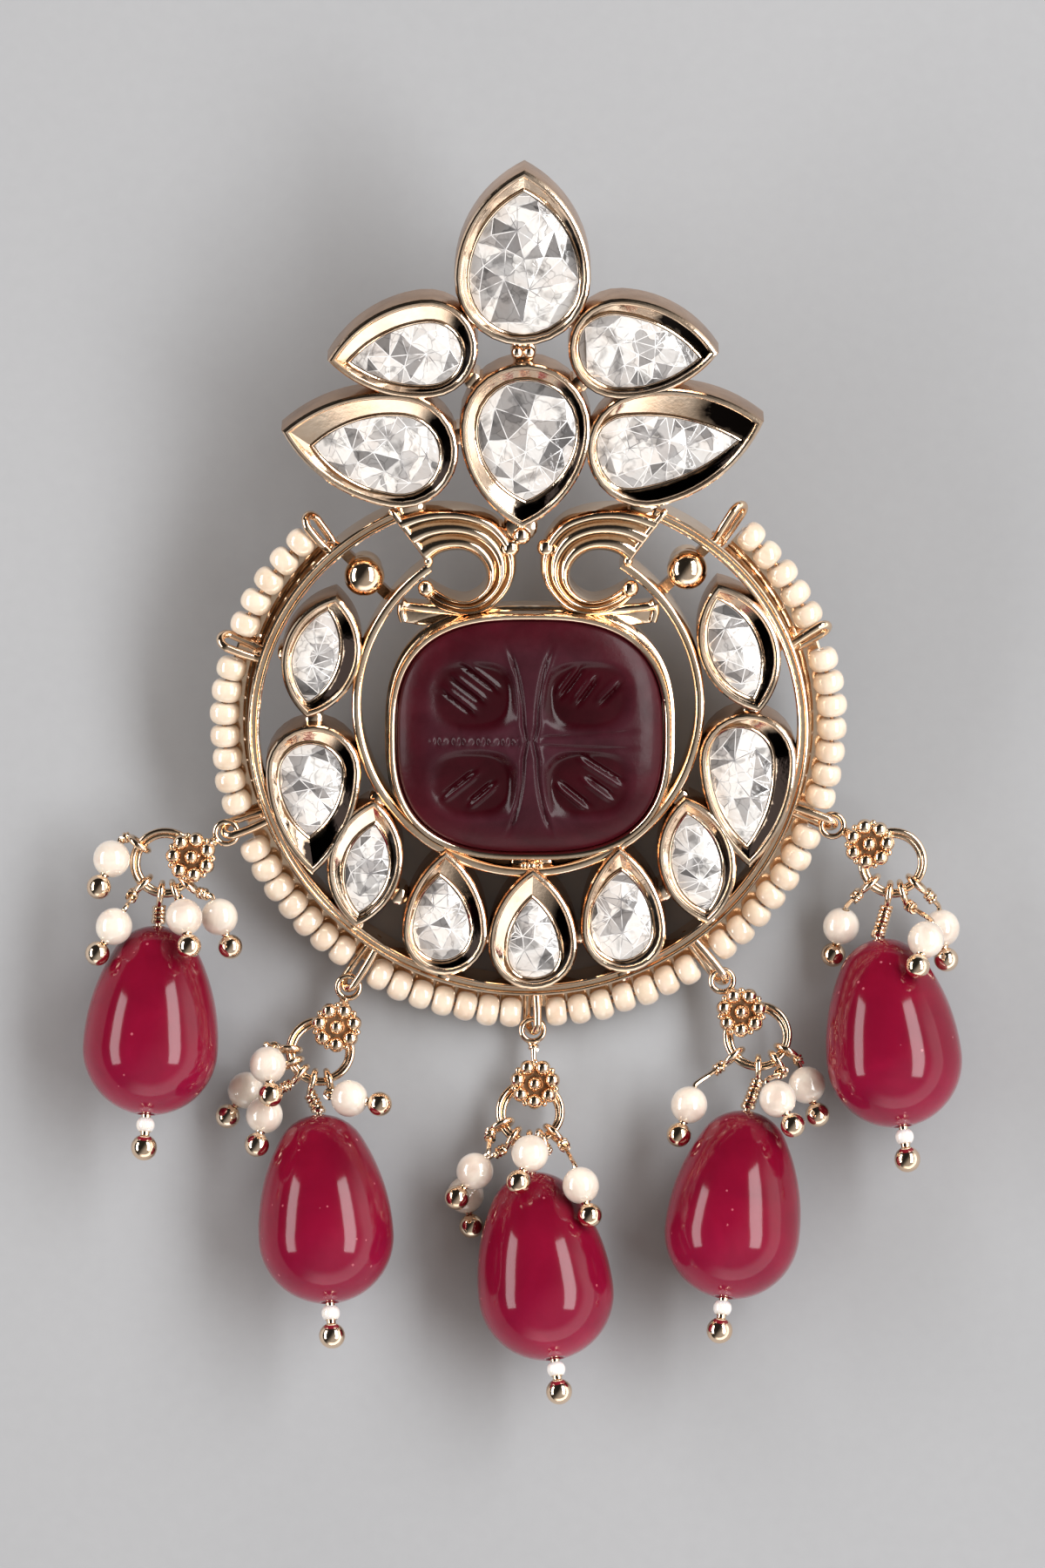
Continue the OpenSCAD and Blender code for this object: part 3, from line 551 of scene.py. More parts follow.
def garnet():
    m = Mat("carved_garnet", Specular_IOR_Level=0.15, Coat_Weight=0.07, Coat_Roughness=0.10, Coat_IOR=1.45)
    edge = m.attr("along")
    # painted light: towards the rim the colour turns a little brighter and redder, standing in for light coming through
    # the stone's edge
    body = m.ramp(edge, [(0.0, (0.038, 0.010, 0.016)), (0.74, (0.038, 0.008, 0.013)), (0.88, (0.040, 0.004, 0.008)), (1.0, (0.050, 0.003, 0.008))])
    haze = m.ramp(m.noise(2.4, 5.0, 0.6, 0.5), [(0.34, (0.72, 0.60, 0.62)), (0.66, (1.35, 1.3, 1.3))])
    colour = m.mix(0.7, body, haze, "MULTIPLY")
    # painted shade: the sunk petals and grooves are painted darker wine, more so where the carving is deeper
    sunk_painted_shade = m.ramp(m.attr("facet"), [(0.1, (0.55, 0.08, 0.16)), (0.5, (0.7, 0.3, 0.36)), (0.95, (1, 1, 1))])
    colour = m.mix(0.95, colour, sunk_painted_shade, "MULTIPLY")
    tool = m.bump(m.noise(0.35, 3.0, 0.6), 0.02, 0.5)
    shine = m.math("ADD", m.span(m.attr("facet"), 0.3, 0.95, 0.12, 0.24), m.span(m.noise(0.8, 4.0), 0.3, 0.7, 0.0, 0.08))
    shine = m.math("MULTIPLY", shine, m.span(edge, 0.78, 0.94, 1.0, 1.25))
    return m.set(Base_Color=colour, Roughness=shine, Normal=tool)


def pearl(name, light, deep, glow=0.25):
    m = Mat(name, Coat_Weight=1.0, Coat_Roughness=0.08, Coat_IOR=1.6, Subsurface_Weight=glow, Subsurface_Scale=0.0006, Sheen_Weight=0.2, Sheen_Roughness=0.4)
    m.b.inputs["Subsurface Radius"].default_value = (1.0, 0.8, 0.6)
    cloud = m.ramp(m.noise(1.7, 4.0, 0.5, 0.7), [(0.3, deep), (0.6, light)])
    tint = m.ramp(m.noise(0.9, 2.0), [(0.4, (1.0, 0.965, 0.95)), (0.6, (0.985, 1.0, 0.985))])
    colour = m.mix(0.8, cloud, tint, "MULTIPLY")
    skin = m.bump(m.noise(0.35, 3.0), 0.012, 0.5)
    return m.set(Base_Color=colour, Roughness=m.span(m.noise(0.6, 3.0), 0.3, 0.7, 0.16, 0.28), Normal=skin)


FOIL = clear_foil()


def foil_edge():
    m = Mat("stone_facet_edges", Metallic=0.2, Coat_Weight=0.5, Coat_Roughness=0.05)
    return m.set(Base_Color=m.ramp(m.noise(1.1, 2.0), [(0.36, (0.22, 0.215, 0.22)), (0.52, (0.92, 0.92, 0.92))]), Roughness=m.span(m.noise(0.5), 0.3, 0.7, 0.15, 0.3),
                 Normal=m.bump(m.noise(0.3), 0.01, 0.4))


FOIL_EDGE = foil_edge()
RUBY = ruby()
GARNET = garnet()
PEARL = pearl("dangle_pearl_cream", (0.79, 0.725, 0.645), (0.60, 0.51, 0.44))
SEED = pearl("seed_pearl_cream", (0.80, 0.69, 0.565), (0.66, 0.53, 0.40))
BEAD = pearl("milky_end_bead", (0.90, 0.88, 0.84), (0.80, 0.74, 0.68), glow=0.5)

# ---------- the frame's metal ----------

rnd = random.Random(7)


def outer_rail():
    part = Part()
    w = RAIL_W
    profile = [(0.0, 0.05), (0.0, RAIL_H - 0.13)] + lip(0.0, -0.21, RAIL_H, 0.11)[1:] + [(-0.235, RAIL_H - 0.22), (-w + 0.235, RAIL_H - 0.22)] \
        + lip(-w + 0.21, -w, RAIL_H + 0.02, 0.11)[:-1] + [(-w, RAIL_H - 0.13), (-w, 0.05), (-w + 0.05, 0.0), (-0.05, 0.0)]
    run_profile(part, oval_path(), profile)
    return piece(part, "outer_rail", [GOLD], ["frame"], angle=30)


def seed_ledge():
    part = Part()
    h = FLANGE_H
    profile = [(-0.1, 0.0), (FLANGE - 0.1, 0.0), (FLANGE, 0.08), (FLANGE, h - 0.1), (FLANGE - 0.1, h), (-0.1, h)]
    run_profile(part, oval_path(start=132.0), profile)
    # a thin bright wire runs along the foot of the rail
    path = [lift(p[0] + n[0] * 0.14, p[1] + n[1] * 0.14, h + 0.1) for p, n in oval_path(start=132.0)]
    tube(part, path, 0.14, n=8)
    return piece(part, "seed_pearl_ledge", [GOLD_WIRE], ["frame"], angle=30)


def inner_rail():
    part = Part()
    path = []
    for i in range(141):
        a = rad(125 + 292 * i / 140)
        n = (math.cos(a), math.sin(a))
        path.append(((INNER_C[0] + INNER_R * n[0], INNER_C[1] + INNER_R * n[1]), n))
    w = INNER_W
    profile = [(0.0, 0.05), (0.0, RAIL_H - 0.13)] + lip(0.0, -w, RAIL_H, 0.14)[1:-1] + [(-w, RAIL_H - 0.13), (-w, 0.05), (-w + 0.05, 0.0), (-0.05, 0.0)]
    run_profile(part, path, profile)
    return piece(part, "inner_rail", [GOLD], ["frame"], angle=34)


SEAT = 2.40   # height of a stone's edge above the back


def cup_part(i, rim, wall):
    """Outer wall and rounded rim, then the sloping wall down to the stone's edge."""
    c = CUPS[i]
    lie = lambda pts, w: [(x, y, w) for x, y in pts]
    rows = [lie(outline(c, 0.12), 0.0), lie(outline(c, 0.0), 0.12), lie(outline(c, 0.0), 2.7), lie(outline(c, 0.03), 2.86),
            lie(outline(c, 0.10), 2.95), lie(outline(c, 0.19), 2.985), lie(outline(c, 0.29), 2.965), lie(outline(c, 0.36), 2.90), lie(outline(c, 0.40), 2.80)]
    top = outline(c, 0.40)
    foot = cut_line(i, -0.17)
    # the wall's rows turn from the rim's outline into the stone's
    inner = [lie(top, 2.80)]
    fall = [min(2.80 - SEAT - 0.02, 0.72 * math.hypot(b[0] - a[0], b[1] - a[1])) for a, b in zip(top, foot)]
    for t in (0.25, 0.5, 0.75, 1.0):
        inner.append([(a[0] + (b[0] - a[0]) * t, a[1] + (b[1] - a[1]) * t, 2.80 - f * t) for a, b, f in zip(top, foot, fall)])
    inner += [lie(cut_line(i, -0.14), SEAT + 0.09), lie(cut_line(i, -0.09), SEAT + 0.12), lie(cut_line(i, -0.035), SEAT + 0.08),
              lie(cut_line(i, 0.0), SEAT - 0.05), lie(cut_line(i, 0.02), CUP_FLOOR + 0.3)]
    rows = rows[:-1] + inner
    # painted dark reflection: the recess walls facing right and down are painted near black, standing in for the dark
    # room they mirror; this weight says how much
    painted_dark_weight = []
    for a, b in zip(outline(c, 0.0), top):
        dx, dy = a[0] - b[0], a[1] - b[1]
        k = (0.9 * dx - 0.44 * dy) / max(1e-6, math.hypot(dx, dy))
        painted_dark_weight.append(max(0.0, min(1.0, (k - 0.03) / 0.34)))
    val = []
    for w in [0] * 8 + [1, 1, 1, 0.9, 0.6] + [0] * 5:
        val += [w * k for k in painted_dark_weight]
    # the first three rows, the cup's outer wall, take the darker gold of painted shade
    loft(rim, rows, row_mats=[1, 1, 1] + [0] * (len(rows) - 4), place=IN_FRAME, val=val)


def stone_cups():
    part = Part()
    for i in range(len(CUPS)):
        cup_part(i, part, part)
    return piece(part, "stone_cups", [GOLD_WALL, GOLD_SIDE_SHADED], ["frame"], angle=26)


def solder():
    part = Part()
    for u, v, r in JOINTS:
        h = CUP_H - 0.55
        prof = [(0.0, 0.0), (r, 0.0), (r, h - 0.35), (r * 0.86, h - 0.13), (r * 0.5, h - 0.02), (0.0, h)]
        lathe(part, prof, 16, place=IN_FRAME @ Matrix.Translation((u, v, 0)))
    # two beads bridge the first two cups
    for du in (-0.36, 0.28):
        ball(part, (-0.22 + du, 20.72, 2.62), 0.34, 18, 12, place=IN_FRAME)
    ball(part, (-0.35, 10.75, 2.5), 0.5, 20, 12, place=IN_FRAME)
    # bottom block between the bezel and the inner rail
    box_prism(part, [(-1.1, -7.7), (1.5, -7.7), (1.3, -6.6), (-0.9, -6.6)], 0.0, 1.5, 0.3)
    for du, r in ((-0.42, 0.2), (0.02, 0.27), (0.45, 0.2)):
        ball(part, (0.18 + du, -7.28, 2.3), r, 16, 10, place=IN_FRAME)
    return piece(part, "solder_joints", [GOLD_WALL], ["frame"])


def box_prism(part, pts, w0, w1, soft=0.15, **kw):
    """A prism with softened top edges."""
    c = (sum(p[0] for p in pts) / len(pts), sum(p[1] for p in pts) / len(pts))

    def shrink(d):
        out = []
        for p in pts:
            v = Vector((p[0] - c[0], p[1] - c[1]))
            v *= max(0.2, 1 - d / max(v.length, 1e-6))
            out.append((c[0] + v.x, c[1] + v.y))
        return out

    rows = [[(x, y, w0) for x, y in shrink(0)], [(x, y, w1 - soft) for x, y in shrink(0)],
            [(x, y, w1 - soft * 0.35) for x, y in shrink(soft * 0.35)], [(x, y, w1) for x, y in shrink(soft)]]
    loft(part, rows, place=IN_FRAME, **kw)


def bezel():
    part = Part()
    a, b = BEZEL_W / 2, BEZEL_L / 2
    rows = []
    for d, w in ((0.15, 0.0), (0.0, 0.15), (0.0, BEZEL_H - 0.3), (0.03, BEZEL_H - 0.12), (0.10, BEZEL_H - 0.02), (0.19, BEZEL_H),
                 (0.28, BEZEL_H - 0.02), (0.36, BEZEL_H - 0.09), (0.41, BEZEL_H - 0.22), (0.42, 2.6), (0.42, CUP_FLOOR)):
        rows.append([(BEZEL_C[0] + x, BEZEL_C[1] + y, w) for x, y in cushion(a - d, b - d)])
    loft(part, rows, place=IN_FRAME)
    # a thin wire runs round the foot of the bezel
    foot = [lift(BEZEL_C[0] + x, BEZEL_C[1] + y, 2.15) for x, y in cushion(a + 0.05, b + 0.05)]
    tube(part, foot, 0.13, n=8, closed=True)
    return piece(part, "centre_bezel", [GOLD], ["frame"], angle=32)


OUTER_LINE = [(-7.03, 11.75), (-5.85, 12.1), (-4.55, 12.25), (-3.1, 12.1), (-1.75, 11.55), (-0.85, 10.4), (-0.62, 9.0), (-1.0, 7.85), (-1.95, 6.8), (-3.3, 6.42), (-4.75, 6.75), (-5.7, 7.45)]
INNER_LINE = [(-5.2, 9.35), (-4.75, 9.75), (-4.05, 9.95), (-3.3, 9.9), (-2.65, 9.5), (-2.25, 8.85), (-2.3, 8.1), (-2.75, 7.55), (-3.35, 7.3), (-4.05, 7.42), (-4.75, 7.75), (-5.3, 8.1)]


def scroll_rows(mirror):
    n, m = 60, 31
    out = resample(spline([(x, y, 0) for x, y in OUTER_LINE], 8), n)
    inn = resample(spline([(x, y, 0) for x, y in INNER_LINE], 8), n)
    rows = []
    for i in range(n):
        s = i / (n - 1)
        a, b = out[i], inn[i]
        wide = (b - a).length
        row = [(a.x, a.y, 0.6), (a.x, a.y, 2.45)]
        for k in range(1, m - 1):
            t = k / (m - 1)
            p = a.lerp(b, t)
            ridge = abs(math.sin(3 * math.pi * t ** 0.9)) ** 0.7
            rise = 0.46 * min(1.0, wide / 1.7)
            crown = 0.12 * math.sin(math.pi * t)
            row.append((p.x, p.y, 2.42 + crown + rise * ridge))
        row += [(b.x, b.y, 2.45), (b.x, b.y, 0.6)]
        # the curled end falls away a little
        drop = 0.45 * max(0.0, (s - 0.8) / 0.2) ** 2
        row = [((-x if mirror else x), y, w - (drop if w > 1 else 0)) for x, y, w in row]
        rows.append(row)
    return rows


def scrolls():
    part = Part()
    for mirror in (False, True):
        loft(part, scroll_rows(mirror), place=IN_FRAME)
        sg = -1 if mirror else 1
        bar = [(-6.75, 6.95), (-6.62, 5.92), (-5.6, 5.72), (-5.1, 5.85), (-4.2, 6.2), (-3.2, 6.45), (-2.9, 6.75), (-4.3, 6.9), (-5.5, 6.85)]
        box_prism(part, [(sg * x, y) for x, y in bar], 0.5, 2.2, 0.25)
        foot = spline([lift(sg * x, y, w) for x, y, w in ((-6.72, 6.98, 2.24), (-6.3, 6.84, 2.2), (-5.6, 6.76, 2.2), (-4.6, 6.66, 2.2), (-3.3, 6.5, 2.2))], 5)
        tube(part, foot, 0.26, n=14, radii=[0.25 + 0.12 * math.exp(-(k / 1.8) ** 2) for k in range(len(foot))])
        end = spline([lift(sg * x, y, w) for x, y, w in ((-6.72, 6.95, 2.2), (-6.74, 6.5, 2.16), (-6.62, 6.05, 2.1))], 4)
        tube(part, end, 0.24, n=14)
        # a thin wire edges the cut end and meets the inner rail
        edge = spline([lift(sg * x, y, w) for x, y, w in ((-5.36, 9.15, 2.5), (-5.3, 9.42, 2.62), (-6.1, 10.6, 2.72), (-7.05, 11.85, 2.68), (-7.3, 12.1, 2.5))], 5)
        tube(part, edge, 0.17, n=10)
        ball(part, (sg * -5.3, 9.38, 2.55), 0.27, 16, 10, place=IN_FRAME)
        # the curl ends in a small knob
        ball(part, (sg * -5.42, 7.85, 2.35), 0.46, 22, 14, place=IN_FRAME)
        # bright bead where the ridges meet the centre cup
        ball(part, (sg * -0.95, 10.1, 2.5), 0.5, 20, 12, place=IN_FRAME)
    return piece(part, "ridged_scrolls", [GOLD], ["frame"], angle=50)


def rail_balls():
    part = Part()
    for sg, u, v in ((-1, -8.72, 8.45), (1, 8.45, 8.8)):
        ball(part, (u, v, 1.95), BALL_R, 40, 26, place=IN_FRAME)
        prof = [(0.0, 0.0), (0.95, 0.0), (0.95, 0.9), (0.8, 1.15), (0.0, 1.2)]
        lathe(part, prof, 24, place=IN_FRAME @ Matrix.Translation((u, v, 0)))
        k = Vector((u + sg * 0.15, v + 0.1, 0))
        d = Vector((0.7071, 0.7071, 0)) if sg > 0 else Vector((-0.7071, 0.7071, 0))
        q = Vector((-d.y, d.x, 0))
        quad = [k - d * 2.1 - q * 0.30, k + d * 2.1 - q * 0.30, k + d * 2.1 + q * 0.30, k - d * 2.1 + q * 0.30]
        # the low arm at each ball takes the darker gold of painted shade
        box_prism(part, [(p.x, p.y) for p in quad], 0.4, 1.0, 0.2, mat=1)
    return piece(part, "rail_balls", [GOLD, GOLD_SIDE_SHADED], ["frame"], angle=45)


def eye_loops():
    part = Part()
    for e in EYES:
        low = e[1] < SIDE_C[1] - 3
        reach = (math.hypot(e[0], e[1] - OVAL_C[1]) - OVAL_R if low else math.hypot(abs(e[0]) + SIDE_C[0], e[1] - SIDE_C[1]) - SIDE_R) + 0.3
        place = IN_FRAME @ Matrix.Translation((e[0], e[1], 1.4)) @ Matrix.Rotation(rad(e[2]), 4, "Z") @ Matrix.Rotation(rad(55), 4, "X")
        r = 0.50
        pts = [(-reach, -r * 0.62, 0), (-reach * 0.5, -r * 0.92, 0)]
        pts += [(r * math.cos(rad(a)) * 1.05, r * math.sin(rad(a)), 0) for a in range(-90, 91, 15)]
        pts += [(-reach * 0.5, r * 0.92, 0), (-reach, r * 0.62, 0)]
        line = spline(pts, 3)
        tube(part, line, 0.225, n=12, place=place)
        ball(part, (-reach + 0.12, 0, 0), 0.5, 18, 12, place=place, stretch=0.6)
    return piece(part, "wire_eyelets", [GOLD_WIRE], ["frame"])


# ---------- stones ----------


def foil_stone(i):
    """A low stone with irregular facets over its foil."""
    r = random.Random(40 + i * 7)
    edge = cut_line(i, 0.015)
    n = len(edge)
    s = CUTS[i]
    mid = Vector((s[1] * 0.72 + s[3] * 0.28, s[2] * 0.72 + s[4] * 0.28)) if s[0] == 0 else Vector((s[1], s[2]))
    size = s[5]
    big = size > 1.9
    pts = [Vector(p) for p in edge]
    heights = [SEAT] * n
    rings = ((0.80, 7 if not big else 9, 0.16, 0.03), (0.42, 4 if not big else 6, 0.27, 0.08), (0.08, 1, 0.30, 0.08)) if size > 1.25 else ((0.74, 6, 0.15, 0.03), (0.2, 2, 0.26, 0.07))
    lift_by = 0.62 + 0.17 * size
    for f, k, up, jit in rings:
        turn = r.random()
        for j in range(k):
            t = ((j + turn + r.uniform(-0.22, 0.22)) / k) % 1.0 * n
            a, b = int(t) % n, (int(t) + 1) % n
            p = pts[a].lerp(pts[b], t - int(t))
            q = mid + (p - mid) * (f + r.uniform(-0.07, 0.07))
            pts.append(q)
            heights.append(SEAT + (up + r.uniform(-jit, jit)) * lift_by)
    edges = [(k, (k + 1) % n) for k in range(n)]
    out_v, _, out_f, orig, _, _ = delaunay_2d_cdt(pts, edges, [list(range(n))], 1, 1e-6)
    z = [heights[o[0]] if o else SEAT for o in orig]
    part = Part()
    verts = [(p.x, p.y, z[k]) for k, p in enumerate(out_v)]
    # below the edge the stone goes down inside its setting
    edge_ids = {}
    for k, o in enumerate(orig):
        for q in o:
            if q < n:
                edge_ids[q] = k
    ring = [edge_ids[k] for k in range(n)]
    low = len(verts)
    verts += [(mid.x + (edge[k][0] - mid.x) * 0.97, mid.y + (edge[k][1] - mid.y) * 0.97, CUP_FLOOR + 0.36) for k in range(n)]
    faces = [tuple(f) for f in out_f]
    # the slivers that fan out from one inner point to the outline make one facet
    on_edge = set(ring)
    group, tone_of = [], {}
    for k, f in enumerate(faces):
        inner = [q for q in f if q not in on_edge]
        group.append(("fan", inner[0]) if len(inner) == 1 else ("own", k))
    # each facet group gets a random grey, which the foil material paints in as reflection
    tones = [tone_of.setdefault(q, r.random()) for q in group]
    for k in range(n):
        j = (k + 1) % n
        faces.append((ring[k], ring[j], low + j, low + k))
        tones.append(0.5)
    faces.append(tuple(low + k for k in range(n)))
    tones.append(0.5)
    part.add(verts, faces, smooth=False, place=IN_FRAME, tone=tones)
    o = piece(part, STONES[i] + "_facets", [FOIL, FOIL_EDGE], [STONES[i]], angle=1)
    me = o.data
    bm = bmesh.new()
    bm.from_mesh(me)
    up = (IN_FRAME.to_3x3() @ Vector((0, 0, 1))).normalized()
    same = [e for e in bm.edges if len(e.link_faces) == 2 and all(f.index < len(group) for f in e.link_faces)
            and group[e.link_faces[0].index] == group[e.link_faces[1].index]]
    bmesh.ops.dissolve_edges(bm, edges=same, use_verts=False)
    tops = [f for f in bm.faces if f.normal.dot(up) > 0.55]
    rim = bmesh.ops.inset_individual(bm, faces=tops, thickness=0.022 * MM, depth=0.012 * MM, use_even_offset=True)
    for face in rim["faces"]:
        face.material_index = 1
    bm.to_mesh(me)
    bm.free()
    return o


# slanting cuts in the centre stone's petals, for each quarter: outer end, inner end
SLANTS = {
    (-1, 1): [((3.7, 4.1), (1.75, 2.6)), ((4.3, 3.4), (2.5, 2.0)), ((4.75, 2.7), (3.0, 1.35))],
    (1, 1): [((2.8, 3.9), (1.6, 2.3)), ((3.6, 3.4), (2.5, 1.9)), ((4.9, 3.1), (3.7, 1.9))],
    (-1, -1): [((4.75, 3.1), (2.9, 1.6)), ((3.4, 3.5), (1.9, 2.2))],
    (1, -1): [((5.0, 2.3), (2.7, 0.8)), ((4.5, 3.1), (2.9, 1.9)), ((3.2, 3.6), (1.5, 2.2))]}


def carve(x, y):
    """Height of the centre stone's carving at a point of its face, in millimetres."""
    def groove(d, s):
        return math.exp(-(d * d) / (2 * s * s))

    def soft(t):
        t = max(0.0, min(1.0, t))
        return t * t * (3 - 2 * t)

    y += 0.1
    ax, ay = abs(x), abs(y)
    sx, sy = (1 if x > 0 else -1), (1 if y > 0 else -1)
    # four petals are sunk, deepest near the stem
    px, py = (ax - 3.06) / 2.62, (ay - 2.38) / 2.12
    q = (abs(px) ** 2.7 + abs(py) ** 2.7) ** (1 / 2.7)
    sink = soft((1 - q) * 2.3 / 0.75)
    h = -(0.54 - 0.06 * ax) * sink
    # the stem has two thin edges, pinched at the middle
    stem = 0.26 + 0.16 * min(1.0, ay / 0.9) + 0.62 * min(1.4, ay / 4.6) ** 2.6
    fade_y = 1.0 / (1.0 + math.exp((ay - 4.8) * 5))
    h -= 0.15 * groove(ax - stem + 0.05, 0.10) * fade_y
    h += 0.07 * groove(ax - stem - 0.14, 0.10) * fade_y
    # level band: beads on its left half, two lines on its right
    fade_x = 1.0 / (1.0 + math.exp((ax - 5.3) * 5))
    away = 1.0 - math.exp(-(ax / 0.7) ** 4)
    if x < -0.7:
        h -= 0.13 * math.exp(-(y / 0.34) ** 2) * fade_x
        h += 0.24 * (0.5 + 0.5 * math.cos(2 * math.pi * (x + 0.06 * math.sin(5 * x)) / 0.66)) * math.exp(-(y / 0.2) ** 2) * fade_x
    else:
        h -= 0.11 * groove(ay - 0.20 - 0.05 * ax, 0.09) * fade_x * away
    # slanting cuts, each with a raised side
    for (x1, y1), (x0, y0) in SLANTS[(sx, sy)]:
        dx, dy = x1 - x0, y1 - y0
        ln = math.hypot(dx, dy)
        dx, dy = dx / ln, dy / ln
        t = (ax - x0) * dx + (ay - y0) * dy
        c = -(ax - x0) * dy + (ay - y0) * dx
        k = soft((t + 0.3) / 0.9) * soft((ln + 0.3 - t) / 0.8)
        if k > 0:
            h += k * (-0.15 * groove(c, 0.10) + 0.14 * groove(c - 0.27, 0.12))
    return h


def carved_stone():
    a, b = BEZEL_W / 2 - 0.46, BEZEL_L / 2 - 0.46
    k = 340
    rim = cushion(a, b, k=k)
    # even steps round the outline
    pts = resample([Vector((x, y, 0)) for x, y in rim + rim[:1]], k + 1)[:k]
    rings = 96
    part = Part()
    rows, vals, tones = [], [], []
    for i in range(1, rings + 1):
        f = (i / rings) ** 0.93
        row = []
        for p in pts:
            x, y = p.x * f, p.y * f
            dome = 0.62 * (1 - f ** 7) ** 0.9 + 0.34 * (1 - f * f)
            mask = 1.0 if f < 0.8 else max(0.0, 1 - (f - 0.8) / 0.14)
            cut = carve(x, y) * mask
            # the carving depth goes into each face's tone, which the garnet uses for painted shade in the sunk parts
            tones.append(max(0.0, min(1.0, 1 + cut * 1.9)))
            row.append((BEZEL_C[0] + x, BEZEL_C[1] + y, 3.1 + dome + cut))
        rows.append(row)
        vals += [f] * k
    top = (BEZEL_C[0], BEZEL_C[1], 3.1 + 0.96 + carve(0, 0))
    verts = [top] + [p for row in rows for p in row]
    val = [0.0] + vals
    faces = [(0, 1 + j, 1 + (j + 1) % k) for j in range(k)]
    for i in range(rings - 1):
        s0, s1 = 1 + i * k, 1 + (i + 1) * k
        for j in range(k):
            q = (j + 1) % k
            faces.append((s0 + j, s1 + j, s1 + q, s0 + q))
    low = len(verts)
    verts += [(p[0], p[1], CUP_FLOOR + GAP) for p in rows[-1]]
    val += [1.0] * k
    s0 = 1 + (rings - 1) * k
    for j in range(k):
        q = (j + 1) % k
        faces.append((s0 + j, low + j, low + q, s0 + q))
    faces.append(tuple(low + j for j in range(k)))
    tones = [1.0] * k + tones[k:]
    tones += [1.0] * (len(faces) - len(tones))
    part.add(verts, faces, place=IN_FRAME, val=val, tone=tones)
    return piece(part, "carved_centre_stone", [GARNET], ["centre_stone"], angle=55)


# ---------- seed pearls ----------


def seed_run(q):
    side, a0, step, count = RUNS[q]
    c = OVAL_C if side == 0 else (-side * -abs(SIDE_C[0]), SIDE_C[1])
    r = (OVAL_R if side == 0 else SIDE_R) + 1.25
    part = Part()
    rr = random.Random(200 + q)
    for k in range(count):
        a = rad(a0 + k * step)
        jit = rr.uniform(-0.04, 0.04)
        size = 1 + rr.uniform(-0.05, 0.015)
        place = IN_FRAME @ Matrix.Translation((c[0] + (r + jit) * math.cos(a), c[1] + (r + jit) * math.sin(a), SEED_Z)) \
            @ Matrix.Rotation(a, 4, "Z") @ Matrix.Rotation(rad(90), 4, "X") @ Matrix.Rotation(rad(rr.uniform(-5, 5)), 4, "Y")
        half = SEED_L / 2 * (1.07 + rr.uniform(-0.03, 0.0))
        ph, amp = rr.uniform(0, 6.3), rr.uniform(0.008, 0.03)
        prof = [(0.16, -half * 0.72), (0.2, -half * 0.95)]
        for t in range(1, 12):
            b = math.pi * t / 12
            prof.append((size * (0.24 + (SEED_R - 0.24) * math.sin(b) ** 0.62), -half * math.cos(b)))
        prof += [(0.2, half * 0.95), (0.16, half * 0.72)]
        lathe(part, prof, 26, place=place, wob=lambda t, z, ph=ph, amp=amp: 1 + amp * math.cos(2 * t + ph))
    # the thread between the pearls takes the darker gold of painted shade
    pts = []
    for k in range(-1, count * 6 + 1):
        a = rad(a0 + (k / 6 - 0.1) * step)
        if -0.55 < k / 6 - 0.1 < count - 0.45:
            pts.append(lift(c[0] + r * math.cos(a), c[1] + r * math.sin(a), SEED_Z))
    tube(part, pts, 0.1, n=8, mat=1)
    return piece(part, f"seed_pearl_run_{q + 1}", [SEED, GOLD_RECESS_SHADED], [f"seed_pearls_{q + 1}"], angle=60)


# ---------- what hangs ----------


def ring_at(g):
    return flat(g[4], g[5], g[6])


def on_ring(g, t, s):
    x, y, p, z = s * math.cos(rad(t)), s * math.sin(rad(t)), rad(g[8]), rad(g[7])
    return ring_at(g) + Vector((x * math.cos(p) * math.cos(z) - y * math.sin(z), x * math.cos(p) * math.sin(z) + y * math.cos(z), x * math.sin(p)))


def ring_place(g):
    return Matrix.Translation(ring_at(g)) @ Matrix.Rotation(rad(g[7]), 4, "Z") @ Matrix.Rotation(rad(-g[8]), 4, "Y")


def bail_t(g):
    return math.degrees(math.atan2(g[2] - g[5], g[1] - g[4])) - g[7]


def flower_at(g):
    return flat(g[1], g[2], on_ring(g, bail_t(g), RING_R)[2] + 0.6)


def drop_dir(g):
    return Vector((math.cos(rad(g[11])) * math.cos(rad(g[12])), math.sin(rad(g[11])) * math.cos(rad(g[12])), math.sin(rad(g[12]))))


def drop_mid(g):
    u = drop_dir(g)
    p = flat(g[9], g[10], 0)
    return Vector((p[0] + u[0] * DROP_TOP, p[1] + u[1] * DROP_TOP, DROP_ARC - DROP_K * math.cos(rad(g[12])) + 0.01))


def along_drop(g):
    return Matrix.Translation(drop_mid(g)) @ Matrix.Rotation(rad(g[11]), 4, "Z") @ Matrix.Rotation(rad(-90 - g[12]), 4, "Y")


def coil(part, p, d, turns, r, wire, rise, n=9):
    """Close turns of wire from p along d."""
    place = aim(p, d)
    pts = [place @ Vector((r * math.cos(a), r * math.sin(a), rise * a / (2 * math.pi))) for a in [2 * math.pi * turns * i / (turns * 14) for i in range(int(turns * 14) + 1)]]
    tube(part, pts, wire, n=n)


def ring_loop(part, g, t):
    place = ring_place(g) @ Matrix.Rotation(rad(t), 4, "Z") @ Matrix.Translation((RING_R + LOOP_OFF, 0, 0)) @ Matrix.Rotation(rad(90), 4, "X")
    tube(part, circle_pts(LOOP_R, 26, place), PIN_WIRE * 1.08, n=10, closed=True)


